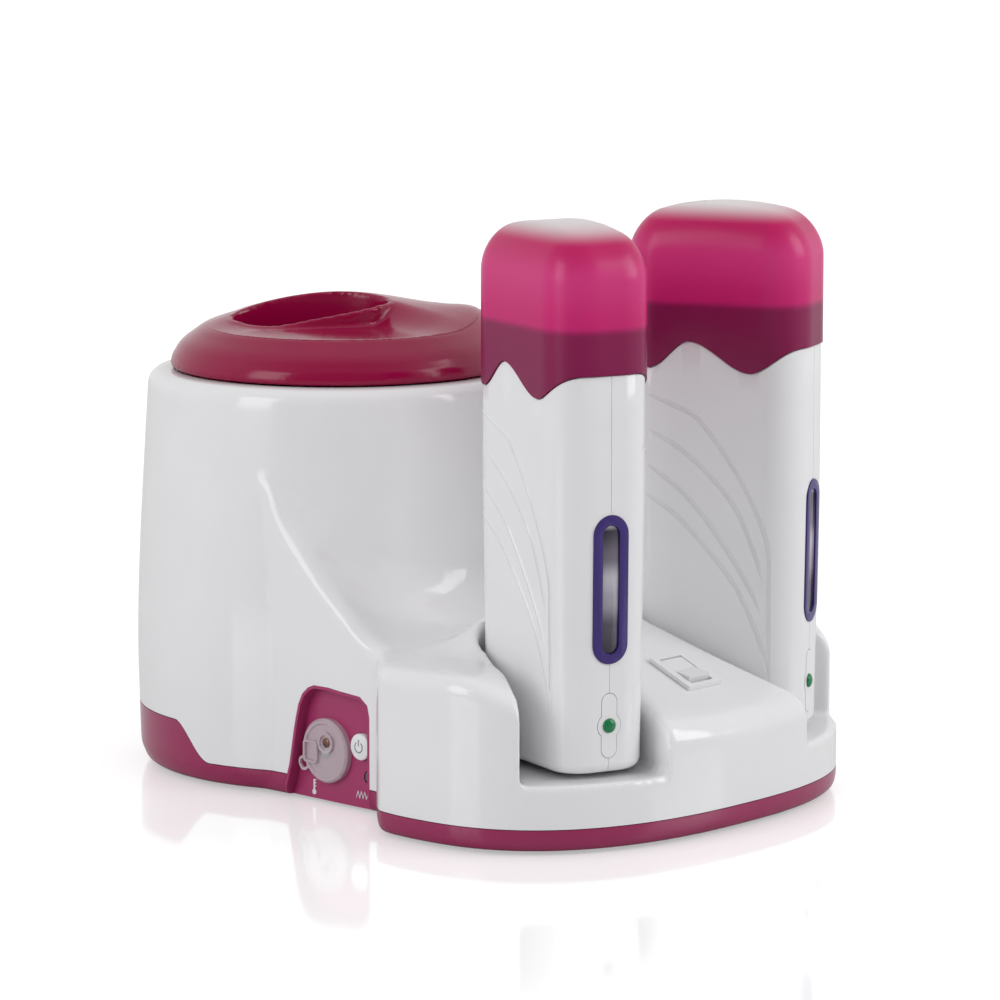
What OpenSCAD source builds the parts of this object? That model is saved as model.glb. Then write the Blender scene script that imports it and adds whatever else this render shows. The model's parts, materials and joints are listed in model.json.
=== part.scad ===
// Roll on wax heater: a wax pot warmer with a dock in front for two roll on handsets.
// Millimetres, +Z up, origin on the table at the centre of the footprint, the dock towards -Y.

/* [Pot housing] */
// Radius of the round housing at its widest
pot_r = 82.8; // [81:0.2:86]
// Height of the housing rim above the table
pot_h = 160; // [154:1:172]
// How much narrower the housing is at the rim than at its widest
pot_draw = 5.1; // [3:0.1:6]
// Wall thickness of the housing mouldings
wall = 2.4; // [1.8:0.1:2.8]

/* [Pot opening] */
// Radius of the step that the seal, well and wax pot sit in
step_r = 67.5; // [66.5:0.1:68]
// Depth of that step below the rim
step_depth = 5; // [5:0.1:6]
// Outer radius of the heating well
well_r = 60.5; // [56:0.5:60.5]
// Depth of the heating well below its flange
well_depth = 96; // [80:1:100]
// Wall of the heating well
well_wall = 1.2; // [1:0.1:1.6]
// Wall of the wax pot
can_wall = 0.8; // [0.6:0.1:1.2]

/* [Dock] */
// Half width of the dock
dock_a = 105; // [103:0.5:110]
// Half depth of the dock
dock_b = 73.2; // [72:0.2:76]
// Distance from the pot axis to the front of the dock
dock_reach = 210; // [208:1:214]
// How square the dock outline is, 2 is an ellipse
dock_power = 2.46; // [2.2:0.02:2.8]
// Slope of the deck between the handsets
deck_slope = 24.2; // [20:0.1:27]
// Height of that deck at the rocker switch
deck_z = 56.3; // [52:0.5:60]
// Height of the joint between base and housing at the dock
seam_low = 9.8; // [8:0.2:12]
// Height of that joint behind the pot
seam_high = 25; // [20:1:30]

/* [Handset] */
// Width of a handset, from its window face to its back
hs_w = 72.4; // [68:0.2:74]
// Thickness of a handset
hs_t = 41.3; // [39:0.1:43]
// Corner radius of its section
hs_r = 14.7; // [12:0.1:16]
// Height of its foot above the table
hs_foot = 28.1; // [27:0.1:30]
// Wall thickness of a handset shell
hs_wall = 2.2; // [1.8:0.1:2.4]
// Height of the collar under the cap above the table
collar_z = 195.5; // [192:0.5:200]
// Height of the cap's top above the table
cap_z = 233; // [228:1:240]
// Wall thickness of a cap
cap_wall = 2; // [1.6:0.1:2.4]
// How far a cap stands proud of the shell
cap_proud = 0.7; // [0.5:0.1:1]
// Distance of each handset axis from the middle
hs_x = 48.7; // [48:0.1:51]
// Distance of the handset axes behind the front of the dock
hs_back = 50.5; // [49:0.5:52]
// Angle by which each handset turns outwards
hs_fan = 19.7; // [15:0.1:24]
// Gap between a handset and its slot
slot_gap = 1.6; // [1:0.1:2.5]

/* [Window and lamp] */
// Height of the window's middle above the table
window_z = 98; // [94:1:104]
// Width of the window frame
frame_w = 14.7; // [12:0.1:15]
// Length of the window frame
frame_l = 56.2; // [50:0.1:60]
// Border of the frame round the clear window
frame_border = 3.75; // [3:0.05:4.5]
// Height of the lamp above the table
led_z = 46.4; // [44:0.2:50]
// Radius of the lamp
led_r = 2.7; // [2:0.1:3]

/* [Lid] */
// Radius of the lid's edge
lid_r = 68.8; // [68.2:0.1:70]
// Height of the lid at its middle, above the rim
lid_rise = 27; // [24:0.5:30]
// Wall thickness of the lid
lid_wall = 2.2; // [1.8:0.1:2.6]
// Half length of the finger recess
recess_l = 31; // [27:0.5:33]
// Half width of the finger recess
recess_w = 17; // [14:0.5:19]
// Angle by which the recess lies across the lid
lid_turn = 49; // [0:1:90]

/* [Controls] */
// Angle by which the control panel turns to the rear
panel_turn = 4; // [0:0.5:6]
// Radius of the thermostat dial
dial_r = 12.7; // [11:0.1:13]
// Height of the dial above the table
dial_z = 21.2; // [20:0.1:23]
// Radius of the push button
button_r = 5.25; // [4.5:0.05:5.4]
// Travel of the push button
button_travel = 1.2; // [0.8:0.1:1.6]
// Length of the rocker bezel along the slope
bezel_l = 21.6; // [20:0.2:24]
// Width of the rocker bezel
bezel_w = 19.3; // [18:0.1:21]
// Total tilt of the rocker
rocker_tilt = 14; // [10:1:16]
// Distance of the rocker switch behind the front of the dock
rocker_back = 30.6; // [28:0.2:33]

/* [Hidden] */

white = [0.9, 0.9, 0.91];
magenta = [0.56, 0.16, 0.33];
lid_red = [0.49, 0.1, 0.2, 0.8];
cap_pink = [0.8, 0.2, 0.5, 0.7];
purple = [0.25, 0.18, 0.38];
clear = [0.85, 0.88, 0.9, 0.5];
steel = [0.75, 0.76, 0.78];
alloy = [0.8, 0.81, 0.83];
black = [0.12, 0.12, 0.13];
board_green = [0.1, 0.35, 0.22];

eps = 0.01;
fit = 0.1;      // gap between pieces that are fixed to each other
run = 0.06;     // radial gap of a piece that turns or slides in its bore
lift = 0.1;     // gap under a piece that is lifted off
far = 400;

pot_y = (dock_reach - pot_r) / 2;        // the footprint is centred on the origin
pot_wide_z = 44;
dock_y = dock_b - dock_reach;
hs_y = dock_reach - hs_back;
rocker_y = dock_reach - rocker_back;
foot_r = 6;
foot_h = 1.8;
base_z = 0.6;
tub_floor = 3;
fillet_r = 18;
edge_r = 6;
tuck_z = 6.2;
neck_w = 75.6;
neck_grow = 0.035;
neck_y0 = -20;
neck_y1 = dock_y + 60.8;
notch_w = 7;
notch_y = dock_y + 33.8;
notch_l = 16;

function clamp(v) = max(0, min(1, v));
function ease(v) = let (t = clamp(v)) t * t * (3 - 2 * t);
function mix(a, b, t) = a + (b - a) * t;
function round_drop(e, r) = e >= r ? 0 : r - sqrt(max(0, r * r - (r - e) * (r - e)));
function arc(cx, cy, r, from, to, steps) =
    [for (i = [0:steps]) let (t = mix(from, to, i / steps)) [cx + r * cos(t), cy + r * sin(t)]];

// --- outer form of the base unit, in a frame on the pot axis ---

function pot_radius(z) = pot_r - pot_draw * pow((z - pot_wide_z) / (pot_h - pot_wide_z), 2);

module pot_solid(inset) {
    rim = pot_radius(pot_h - edge_r);
    rotate_extrude($fn = 64) polygon(concat(
        [[0, inset > 0 ? -1 : base_z], [pot_radius(0) - 4.6 - inset, inset > 0 ? -1 : base_z],
         [pot_radius(0) - 1.8 - inset, 2.4], [pot_radius(6) - inset, 6.5]],
        [for (z = [26:32:pot_h - 20]) [pot_radius(z) - inset, z]],
        arc(rim - edge_r, pot_h - edge_r, edge_r - min(inset, 3), 0, 90, 4) -
            (inset > 0 ? [for (i = [0:4]) [0, step_depth + 0.4]] : [for (i = [0:4]) [0, 0]]),
        [[0, pot_h - (inset > 0 ? step_depth + wall : 0)]]));
}

// Height of the deck along the middle and along the sides, as [y, z]: the valley, the hump
// behind the handsets and the slope in front all keep their distance from the dock's middle
side_z = 66;
plane_top = dock_y + 3.8;
plane_end = -dock_reach - 5;
slope_y = dock_y - 23.2;
function deck_plane(y) = deck_z + (y + rocker_y) * tan(deck_slope);
function neck_y(t) = mix(-32, neck_y1, t);
deck_mid = concat([[neck_y0, 90]],
    [for (p = [[54.8, 72], [41.8, 67.5], [30.8, 69], [20.8, 76.5], [12.8, 82]]) [dock_y + p[0], p[1]]],
    [for (y = [plane_top, plane_end]) [y, deck_plane(y)]]);
deck_side = concat([[neck_y0, 121], [neck_y(0), 104], [neck_y(0.43), 94], [neck_y(0.91), 78]],
    [for (p = [[54.8, 69.5], [46.8, 66.6], [31.8, side_z], [-13.2, side_z]]) [dock_y + p[0], p[1]]],
    [[slope_y, min(side_z, deck_plane(slope_y))], [plane_end, deck_plane(plane_end)]]);

function deck_height(x, y) =
    let (rho = norm([x, y]) - pot_r + 1.3)
    mix(lookup(y, deck_mid), lookup(y, deck_side), ease((abs(x) - 40) / 35))
    + (rho < fillet_r ? round_drop(max(rho, 0), fillet_r) : 0);

function dock_half(y, g) =
    let (u = min(1, abs((y - dock_y) / (dock_b - g))))
    (dock_a - g) * pow(1 - pow(u, dock_power), 1 / dock_power);
function neck_half(y, g) = neck_w - g + neck_grow * (-32 - y);
function half_width(y, g) =
    y < notch_y ? dock_half(y, g)
    : max(neck_half(y, g), dock_half(y, g) - notch_w * ease((y - notch_y) / notch_l));
function edge_gap(x, y, g) =
    let (rho = pow(pow(abs(x / (dock_a - g)), dock_power)
                   + pow(abs((y - dock_y) / (dock_b - g)), dock_power), 1 / dock_power))
    min(half_width(y, g) - abs(x), y < dock_y ? (1 - rho) * dock_b : far);

row_angle0 = -asin((neck_y1 - dock_y) / dock_b);
neck_rows = 6;
dock_rows = 27;
function row_y(j, g) =
    j < neck_rows ? mix(neck_y0, neck_y1, j / neck_rows)
    : dock_y - (dock_b - g) * sin(mix(row_angle0, 88.4, (j - neck_rows) / dock_rows));

// Half of one cross-section, from the foot outwards and up to the middle of the deck
edge_steps = [0, 0.13, 0.45, 1];
deck_steps = [0.86, 0.7, 0.5, 0.28, 0];
function tuck(y, k, g) = y < dock_y ? dock_y + (y - dock_y) * (1 - k / (dock_b - g)) : y;
function half_section(y, g) =
    let (w = half_width(y, g), r = min(edge_r, w * 0.9))
    concat(
        g > 0 ? [[w, y, -1], [w, y, 1], [w, y, tuck_z]]
              : [[w - 2.4, tuck(y, 2.4, g), base_z + 0.3], [w - 0.6, tuck(y, 0.6, g), 2.7], [w, y, tuck_z]],
        [for (s = edge_steps) let (x = w - r * s)
            [x, y, deck_height(x, y) - g - round_drop(edge_gap(x, y, g), edge_r)]],
        [for (s = deck_steps) let (x = (w - r) * s)
            [x, y, deck_height(x, y) - g - round_drop(edge_gap(x, y, g), edge_r)]]);

module body_solid(inset) {
    rows = neck_rows + dock_rows + 1;
    half = len(half_section(neck_y0, inset));
    ring = 2 * half - 1;
    points = [for (j = [0:rows - 1]) let (h = half_section(row_y(j, inset), inset))
        for (i = [0:ring - 1]) i < half ? [-h[i][0], h[i][1], h[i][2]] : h[ring - 1 - i]];
    sides = [for (j = [0:rows - 2], i = [0:ring - 1])
        let (a = j * ring + i, b = j * ring + (i + 1) % ring)
        for (t = [[a, b, b + ring], [a, b + ring, a + ring]]) t];
    ends = [for (end = [0, 1], i = [0:half - 2])
        let (o = end * (rows - 1) * ring, a = o + i, b = o + i + 1,
             c = o + ring - 2 - i, d = o + ring - 1 - i)
        for (t = b == c ? [[a, d, b]] : [[a, d, c], [a, c, b]]) end == 0 ? t : [t[2], t[1], t[0]]];
    polyhedron(points = points, faces = concat(sides, ends), convexity = 8);
}

module base_form(inset) {
    pot_solid(inset);
    body_solid(inset);
}

// Space under the joint between base tub and housing, raised behind the pot
seam_foot = -4;
seam_run = 20;
module under_seam(raise = 0) {
    rotate([90, 0, 90]) linear_extrude(2 * far, center = true) polygon(concat(
        [[-far, -5], [-far, seam_low + raise]],
        [for (i = [0:8]) [seam_foot + seam_run * i / 8,
            mix(seam_low, seam_high, ease(i / 8)) + raise]],
        [[far, seam_high + raise], [far, -5]]));
}

// --- slots and the frames that pieces are placed in ---

module at_pot() { translate([0, pot_y, 0]) children(); }
module at_handset(side) {
    translate([side * hs_x, pot_y - hs_y, 0]) rotate([0, 0, side * hs_fan]) children();
}
panel_x = 72.3;
panel_y = dock_reach - 149;
module at_panel() {
    translate([-panel_x, pot_y - panel_y, 0]) rotate([0, 0, -90 - panel_turn]) children();
}
module at_rocker() {
    translate([0, pot_y - rocker_y, deck_z]) rotate([deck_slope, 0, 0]) children();
}

slot_floor = hs_foot - 2.1;
flare = 0.274;
flare_start = 19;
// Slot for a handset: follows its back and opens towards the outside wall
module slot_space(side, grow = 0) {
    half_t = hs_t / 2 + slot_gap + grow;
    back = hs_w / 2 + slot_gap + grow;
    r = hs_r + slot_gap + grow;
    translate([0, -pot_y, 0]) at_handset(side) translate([0, 0, slot_floor - grow]) {
        hull() {
            for (s = [-1, 1]) translate([s * (half_t - r), back - r, 0]) cylinder(r = r, h = 150, $fn = 32);
            translate([-half_t, -90, 0]) cube([2 * half_t, 60, 150]);
        }
        hull() {
            translate([side * (half_t - 1), flare_start, 75]) cube([2, 2, 150], center = true);
            translate([side * (half_t - 1 + flare * (flare_start + 90)), -90, 75])
                cube([2, 2, 150], center = true);
            translate([0, -90, 75]) cube([2, 2, 150], center = true);
            translate([0, flare_start, 75]) cube([2, 2, 150], center = true);
        }
    }
}

arch_left = 24.5;
arch_right = 25.5;
arch_top = 43.5;
arch_r = 9;
module arch_face(grow = 0) {
    polygon(concat(
        [[arch_right + grow, -5], [arch_right + grow, arch_top - arch_r]],
        arc(arch_right - arch_r, arch_top - arch_r, arch_r + grow, 0, 90, 6),
        arc(arch_r - arch_left, arch_top - arch_r, arch_r + grow, 90, 180, 6),
        [[-arch_left - grow, -5]]));
}
module arch_block(grow, from, to) {
    translate([0, to, 0]) rotate([90, 0, 0]) linear_extrude(to - from) arch_face(grow);
}
panel_plate = 2.2;

// --- base unit ---

boss_r = 4;
boss_bottom = 14;
screw_r = 1.5;
screw_inset = 13;    // from the outside wall to a screw
pot_screw_angles = [20, 160];
dock_screw_angles = [180, 270, 360];
screw_places = concat(
    [for (a = pot_screw_angles) (pot_r - screw_inset) * [cos(a), sin(a)]],
    [for (a = dock_screw_angles)
        [(dock_a - screw_inset) * cos(a), dock_y + (dock_b - screw_inset) * sin(a)]]);
rib_t = 1.8;
foot_spots = [[48, 46], [dock_a - 21, dock_y - 9.2], [46, 20 - dock_reach]];
foot_places = [for (p = foot_spots, s = [-1, 1]) [s * p[0], p[1]]];

boss_h = 22;
rib_z = 26;          // the ribs start above the joint
// Round bosses, each tied to the wall outside it by a rib
module screw_bosses() {
    angles = concat(pot_screw_angles, dock_screw_angles);
    for (i = [0:len(angles) - 1])
        translate([screw_places[i][0], screw_places[i][1], boss_bottom]) difference() {
            union() {
                cylinder(r = boss_r, h = boss_h, $fn = 24);
                rotate([0, 0, angles[i]]) translate([1, -rib_t / 2, rib_z - boss_bottom])
                    cube([screw_inset - wall / 2 - 1.6, rib_t, boss_bottom + boss_h - rib_z]);
            }
            translate([0, 0, -1]) cylinder(r = screw_r + fit, h = 14, $fn = 24);
        }
}
// Ribs that stiffen the deck from below
module deck_ribs() {
    for (x = [-24, -8, 8, 24]) hull() {
        translate([x - 0.8, dock_y + 28.8, 58]) cube([1.6, 1, 9.4]);
        translate([x - 0.8, dock_y + 50.8, 55]) cube([1.6, 1, 14]);
    }
}

inlet_z = 40;
inlet_w = 22;
inlet_h = 14;
module top_shell() at_pot() color(white) {
    difference() {
        base_form(0);
        under_seam();
        difference() {
            base_form(wall);
            for (s = [-1, 1]) slot_space(s, wall);
        }
        translate([0, 0, pot_h - step_depth]) cylinder(r = step_r, h = far, $fn = 96);
        cylinder(r = well_r + 1, h = far, $fn = 96);
        for (s = [-1, 1]) {
            slot_space(s);
            translate([0, -pot_y, 0]) at_handset(s) translate([0, 0, slot_floor]) socket_cut();
        }
        translate([0, -pot_y, 0]) at_panel() arch_block(0, -30, panel_plate + 0.2);
        translate([0, -pot_y, 0]) at_rocker()
            cube([housing_w + 2 * fit, housing_l + 2 * fit, 40], center = true);
        translate([0, pot_r - 5, inlet_z]) cube([inlet_w + 2 * fit, 20, inlet_h + 2 * fit], center = true);
    }
    screw_bosses();
    deck_ribs();
}

vent_places = [for (a = [200:20:340]) [40 * cos(a), 40 * sin(a) + 6]];
module base_tub() at_pot() color(magenta) {
    difference() {
        union() {
            difference() {
                base_form(0);
                difference() {
                    base_form(wall);
                    translate([-far, -far, -5]) cube([2 * far, 2 * far, 5 + tub_floor]);
                }
            }
            for (p = screw_places) translate([p[0], p[1], 1])
                cylinder(r = boss_r + 1, h = boss_bottom - 1, $fn = 32);
        }
        difference() {
            translate([-far, -far, -10]) cube([2 * far, 2 * far, far]);
            under_seam();
        }
        for (p = foot_places) translate([p[0], p[1], -1]) cylinder(r = foot_r, h = foot_h + 1, $fn = 32);
        for (p = screw_places) translate([p[0], p[1], -1]) {
            cylinder(r = screw_r + 0.2, h = 30, $fn = 24);
            cylinder(r = 3.3, h = 6, $fn = 24);
        }
        for (p = vent_places) translate([p[0], p[1], -1]) hull()
            for (s = [-1, 1]) translate([s * 6, 0, 0]) cylinder(r = 1.5, h = 8, $fn = 12);
        translate([0, -pot_y, 0]) at_panel() arch_block(0, -30, panel_plate + 0.2);
    }
    for (p = board_posts) translate([p[0], p[1], tub_floor - 0.5])
        cylinder(r = 3, h = board_z - tub_floor + 0.5, $fn = 24);
}

module rubber_feet() at_pot() color(black) {
    for (p = foot_places) translate([p[0], p[1], 0]) cylinder(r = foot_r - fit, h = foot_h, $fn = 48);
}

module case_screws() at_pot() color(steel) {
    for (p = screw_places) translate([p[0], p[1], 0]) {
        translate([0, 0, 3]) cylinder(r = 2.9, h = 2, $fn = 32);
        translate([0, 0, 5 - eps]) cylinder(r = screw_r, h = 20, $fn = 32);
    }
}

module control_panel() at_panel() color(magenta) {
    difference() {
        intersection() {
            arch_block(-0.15, -4.4, panel_plate);
            translate([-50, -20, 1]) cube([100, 60, 60]);
        }
        arch_block(-1.4, -20, 0);
        translate([dial_x, 5, dial_z]) rotate([90, 0, 0]) cylinder(r = shaft_r + 0.4, h = 20, $fn = 48);
        translate([button_x, 5, button_z]) rotate([90, 0, 0]) cylinder(r = button_r + run, h = 20, $fn = 64);
        translate([lamp_x, 5, lamp_z]) rotate([90, 0, 0]) cylinder(r = lamp_r + fit, h = 20, $fn = 48);
    }
    for (p = post_places) translate([p[0], board_y - fit, p[1]]) rotate([90, 0, 0])
        cylinder(r = 2, h = board_y - panel_plate - fit + eps, $fn = 24);
}

// Thermometer and heat marks, raised a little from the panel
module panel_icons() at_panel() color(white) {
    mark = 0.3;
    translate([-7, 0, 5]) rotate([90, 0, 0]) {
        cylinder(r = 1, h = mark, $fn = 24);
        translate([-0.4, 0, 0]) cube([0.8, 4.6, mark]);
    }
    translate([16.6, 0, 4.6]) rotate([90, 0, 0]) linear_extrude(mark) polygon(concat(
        [for (i = [0:7]) [i, (i % 2) * 1.8]], [for (i = [7:-1:0]) [i, (i % 2) * 1.8 + 0.8]]));
}

dial_x = -0.8;
shaft_r = 3;
button_x = 18.3;
button_z = 25.3;
lamp_x = 21.4;
lamp_z = 13.4;
lamp_r = 2.4;
board_y = 13;
board_thick = 1.6;
post_places = [[-16, 8], [-16, 34], [15, 36]];

module panel_board() at_panel() color(board_green) {
    translate([-19, board_y, 5]) cube([44, board_thick, 34]);
}

module thermostat_body() at_panel() color(alloy) difference() {
    translate([dial_x - 10, panel_plate + fit, dial_z - 10]) cube([20, board_y - panel_plate - 2 * fit, 20]);
    translate([dial_x, 50, dial_z]) rotate([90, 0, 0]) cylinder(r = shaft_r + run, h = 60, $fn = 64);
}

module thermostat_shaft() at_panel() color(steel) {
    translate([dial_x, board_y - 1, dial_z]) rotate([90, 0, 0])
        cylinder(r = shaft_r, h = board_y + 1.6, $fn = 64);
}

dial_back = 0.6;
dial_thick = 3.6;
dial_chamfer = 0.7;
pointer = 18;
pointer_w = 4.8;
pointer_t = 1.05;
pointer_z = 1.75;    // the tongue passes over the push button
pointer_angle = 208;
ring_r = 4;
ring_place = [2.6, 3];
// Clear dial with a pointer tongue and a small raised ring, its back towards the panel
module thermostat_dial() at_panel() color(clear) translate([dial_x, -dial_back, dial_z]) rotate([90, 0, 0]) {
    difference() {
        union() {
            rotate_extrude($fn = 96) polygon([[0, 0], [dial_r, 0], [dial_r, dial_thick - dial_chamfer],
                [dial_r - dial_chamfer, dial_thick], [0, dial_thick]]);
            rotate([0, 0, pointer_angle]) translate([0, 0, pointer_z]) linear_extrude(pointer_t) {
                translate([0, -pointer_w / 2]) square([pointer - pointer_w / 2, pointer_w]);
                translate([pointer - pointer_w / 2, 0]) circle(d = pointer_w, $fn = 48);
            }
            translate([ring_place[0], ring_place[1], dial_thick - 1]) cylinder(r = ring_r, h = 2, $fn = 48);
        }
        translate([0, 0, -1]) cylinder(r = shaft_r + run, h = 3.2, $fn = 64);
        translate([ring_place[0], ring_place[1], dial_thick - 0.4])
            cylinder(r = ring_r - 1.1, h = 5, $fn = 48);
    }
}

button_face = 2;
stem_end = 8.6;
module power_button() at_panel() color(white) translate([button_x, 0, button_z]) rotate([-90, 0, 0]) {
    translate([0, 0, -button_face]) cylinder(r = button_r, h = button_face + panel_plate + 0.3, $fn = 64);
    translate([0, 0, panel_plate + 0.2]) cylinder(r = button_r + 1, h = 1, $fn = 64);
    translate([0, 0, panel_plate + 1]) cylinder(r = 2, h = stem_end - panel_plate - 1, $fn = 32);
}

module button_switch() at_panel() color(black) {
    front = stem_end + button_travel + 0.2;
    translate([button_x - 4.5, front, button_z - 4.5]) cube([9, board_y - front - fit, 9]);
}

module indicator_lamp() at_panel() color(steel) translate([lamp_x, 0.4, lamp_z]) rotate([-90, 0, 0]) {
    cylinder(r = lamp_r, h = board_y - 0.4 - fit, $fn = 48);
}

// --- heater ---

flange_z = pot_h - step_depth;
seal_h = 1;
flange_r = step_r - 0.5;
can_gap = 1.2;
can_flange = 1.2;
module well_seal() at_pot() color([0.75, 0.2, 0.15]) translate([0, 0, flange_z]) difference() {
    cylinder(r = flange_r, h = seal_h, $fn = 96);
    translate([0, 0, -1]) cylinder(r = well_r + 1, h = 4, $fn = 96);
}

module heating_well() at_pot() color(alloy) translate([0, 0, flange_z + seal_h]) rotate_extrude($fn = 96)
    polygon([[0, -well_depth], [well_r - 3, -well_depth], [well_r, -well_depth + 3], [well_r, 0],
        [flange_r, 0], [flange_r, well_wall], [well_r - well_wall, well_wall],
        [well_r - well_wall, -well_depth + 3.6], [well_r - 3.6, -well_depth + well_wall],
        [0, -well_depth + well_wall]]);

can_r = well_r - well_wall - can_gap;
can_z = flange_z + seal_h + well_wall + lift;
module wax_pot() at_pot() color(alloy) translate([0, 0, can_z]) rotate_extrude($fn = 96) {
    bottom = -well_depth + 1;
    polygon([[0, bottom], [can_r - 5, bottom], [can_r - 1.5, bottom + 1.5], [can_r, bottom + 5], [can_r, 0],
        [flange_r - 0.3, 0], [flange_r - 0.3, can_flange], [can_r - can_wall, can_flange],
        [can_r - can_wall, bottom + 5.2], [can_r - 2, bottom + 2.1], [can_r - 5.2, bottom + can_wall],
        [0, bottom + can_wall]]);
}

band_z = 90;
band_h = 36;
module band_heater() at_pot() color([0.7, 0.65, 0.5]) translate([0, 0, band_z]) difference() {
    union() {
        cylinder(r = well_r + 2.4, h = band_h, $fn = 96);
        for (a = [-4, 4]) rotate([0, 0, a - 90]) translate([well_r + 1, -1, 4]) cube([6, 2, band_h - 8]);
    }
    translate([0, 0, -1]) cylinder(r = well_r + fit, h = band_h + 2, $fn = 96);
}

module thermal_cutout() at_pot() color(black) translate([-22, -12, flange_z + seal_h - well_depth]) {
    translate([0, 0, -6]) cylinder(r = 9, h = 6 - fit, $fn = 48);
    for (s = [-1, 1]) translate([s * 5 - 2, -0.4, -13]) cube([4, 0.8, 7 + eps]);
}

// --- supply and electronics ---

module power_inlet() at_pot() color(black) translate([0, pot_r - 4.5, inlet_z]) {
    difference() {
        cube([inlet_w, 8, inlet_h], center = true);
        translate([0, 2, 0]) cube([inlet_w - 4, 8, inlet_h - 4], center = true);
    }
    for (s = [-1, 1]) translate([s * 4.3, 2, 0]) rotate([90, 0, 0]) cylinder(r = 1.2, h = 5, $fn = 24);
    translate([0, -6, 0]) cube([inlet_w + 5, 4 + eps, inlet_h + 5], center = true);
}

block_y = 40;
block_h = 16;
block_pin = 13;
module terminal_block() at_pot() color([0.85, 0.82, 0.75]) difference() {
    translate([-18, block_y, tub_floor]) cube([36, 14, block_h]);
    for (i = [-1, 0, 1]) translate([i * 11, block_y + 20, block_pin]) rotate([90, 0, 0])
        cylinder(r = 2, h = 30, $fn = 24);
}

board_z = 10;
board_at = [-30, 20 - dock_reach, 60, 54];      // its front left corner, width and depth
board_end = board_at[1] + board_at[3];
board_posts = [for (x = [board_at[0] + 5, board_at[0] + board_at[2] - 5],
                    y = [board_at[1] + 5, board_end - 5]) [x, y]];
module control_board() at_pot() color(board_green)
    translate([board_at[0], board_at[1], board_z]) cube([board_at[2], board_at[3], board_thick]);

transformer = [28, 24, 20];
fuse = [20, 5, 5];
can_part = [5, 14];         // radius and height of a capacitor
// Transformer, fuse and capacitors of the handset supply
module board_parts() at_pot() color([0.3, 0.3, 0.32]) translate([0, board_at[1], board_z + board_thick]) {
    translate([-transformer[0] / 2, board_at[3] - transformer[1] - 4, 0]) cube(transformer);
    for (s = [-1, 1]) translate([s * 21, 10, 0]) cylinder(r = can_part[0], h = can_part[1], $fn = 32);
    translate([-fuse[0] / 2, 6, 0]) cube(fuse);
}

// Round wire along straight runs
module wire(points, r = 1.2) {
    for (i = [0:len(points) - 2]) let (d = points[i + 1] - points[i]) {
        translate(points[i]) rotate([0, acos(d[2] / norm(d)), atan2(d[1], d[0])])
            cylinder(r = r, h = norm(d), $fn = 24);
        if (i > 0) translate(points[i]) sphere(r = r + 0.2, $fn = 24);
    }
}
module wiring() at_pot() color(black) {
    inner_y = pot_r - 4.5 - 8 - fit;
    block_top = tub_floor + block_h;
    for (s = [-1, 1]) {
        wire([[s * 5, inner_y, inlet_z], [s * 5, inner_y - 8, inlet_z], [s * 5, inner_y - 12, block_top + 7],
            [s * 5, block_y + 7, block_top + 7], [s * 5, block_y + 7, block_top + fit]]);
        wire([[s * 11, block_y - fit, block_pin], [s * 11, block_y - 20, 8], [s * 11, board_end + 16, 8],
            [s * 11, board_end + fit, board_z + 0.8]]);
    }
}

housing_w = 15;
housing_l = 18;
key_w = 12;
key_l = 15;
pivot_z = -2.5;
pivot_r = 1;
module rocker_bezel() at_rocker() color(white) difference() {
    translate([0, 0, 0.9]) cube([bezel_w, bezel_l, 1.6], center = true);
    cube([key_w + 1, key_l + 2.6, 10], center = true);
}

module rocker_housing() at_rocker() color(black) difference() {
    union() {
        translate([-housing_w / 2, -housing_l / 2, -15]) cube([housing_w, housing_l, 15]);
        for (y = [-5, 0, 5]) translate([-2, y - 0.4, -22]) cube([4, 0.8, 8]);
    }
    translate([-(key_w + 1) / 2, -8.2, -12]) cube([key_w + 1, 16.4, 20]);
    translate([-20, 0, pivot_z]) rotate([0, 90, 0]) cylinder(r = pivot_r + run, h = 40, $fn = 32);
}

module rocker_key() at_rocker() color(white) translate([0, 0, pivot_z]) rotate([-rocker_tilt / 2, 0, 0]) {
    a = rocker_tilt / 2;
    half = key_l / 2;
    rotate([90, 0, 90]) linear_extrude(key_w, center = true) polygon(concat(
        [[half, -2], [half, 4 + half * tan(a)], [0, 4], [-half, 4 + half * tan(a)], [-half, -2]],
        arc(0, 0, 5, 210, 330, 8)));
    rotate([0, 90, 0]) cylinder(r = pivot_r, h = housing_w - 0.6, center = true, $fn = 32);
}

socket_w = 20;
socket_l = 34;
module socket_cut() {
    translate([0, 0, -5]) cube([socket_w + 2 * fit, socket_l + 2 * fit, 20], center = true);
}
pin_r = 1.2;
pin_gap = 14;
module dock_socket(side) at_handset(side) color(black) {
    translate([-socket_w / 2, -socket_l / 2, slot_floor - 9])
        cube([socket_w, socket_l, hs_foot - lift - slot_floor + 9]);
    translate([-socket_w / 2 - 3, -socket_l / 2 - 3, slot_floor - wall - 4])
        cube([socket_w + 6, socket_l + 6, 4 - fit]);
    for (s = [-1, 1]) translate([0, s * pin_gap / 2, slot_floor])
        cylinder(r = pin_r, h = hs_foot - slot_floor + 6, $fn = 32);
}
module dock_socket_left() { dock_socket(-1); }
module dock_socket_right() { dock_socket(1); }

// --- handset, in a frame on its own axis, the window towards -Y ---

hs_taper = 1.5;
hs_full_z = 130;
taper_angle = atan(hs_taper / (hs_full_z - hs_foot));
function taper(z) = z > hs_full_z ? 0 : hs_taper * (hs_full_z - z) / (hs_full_z - hs_foot);
// Inset of the section by height, with the foot rounded off
hs_profile = [[5, hs_foot], [taper(29) + 1.1, hs_foot + 0.8], [taper(31.5), hs_foot + 3.4], [0, hs_full_z]];

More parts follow.
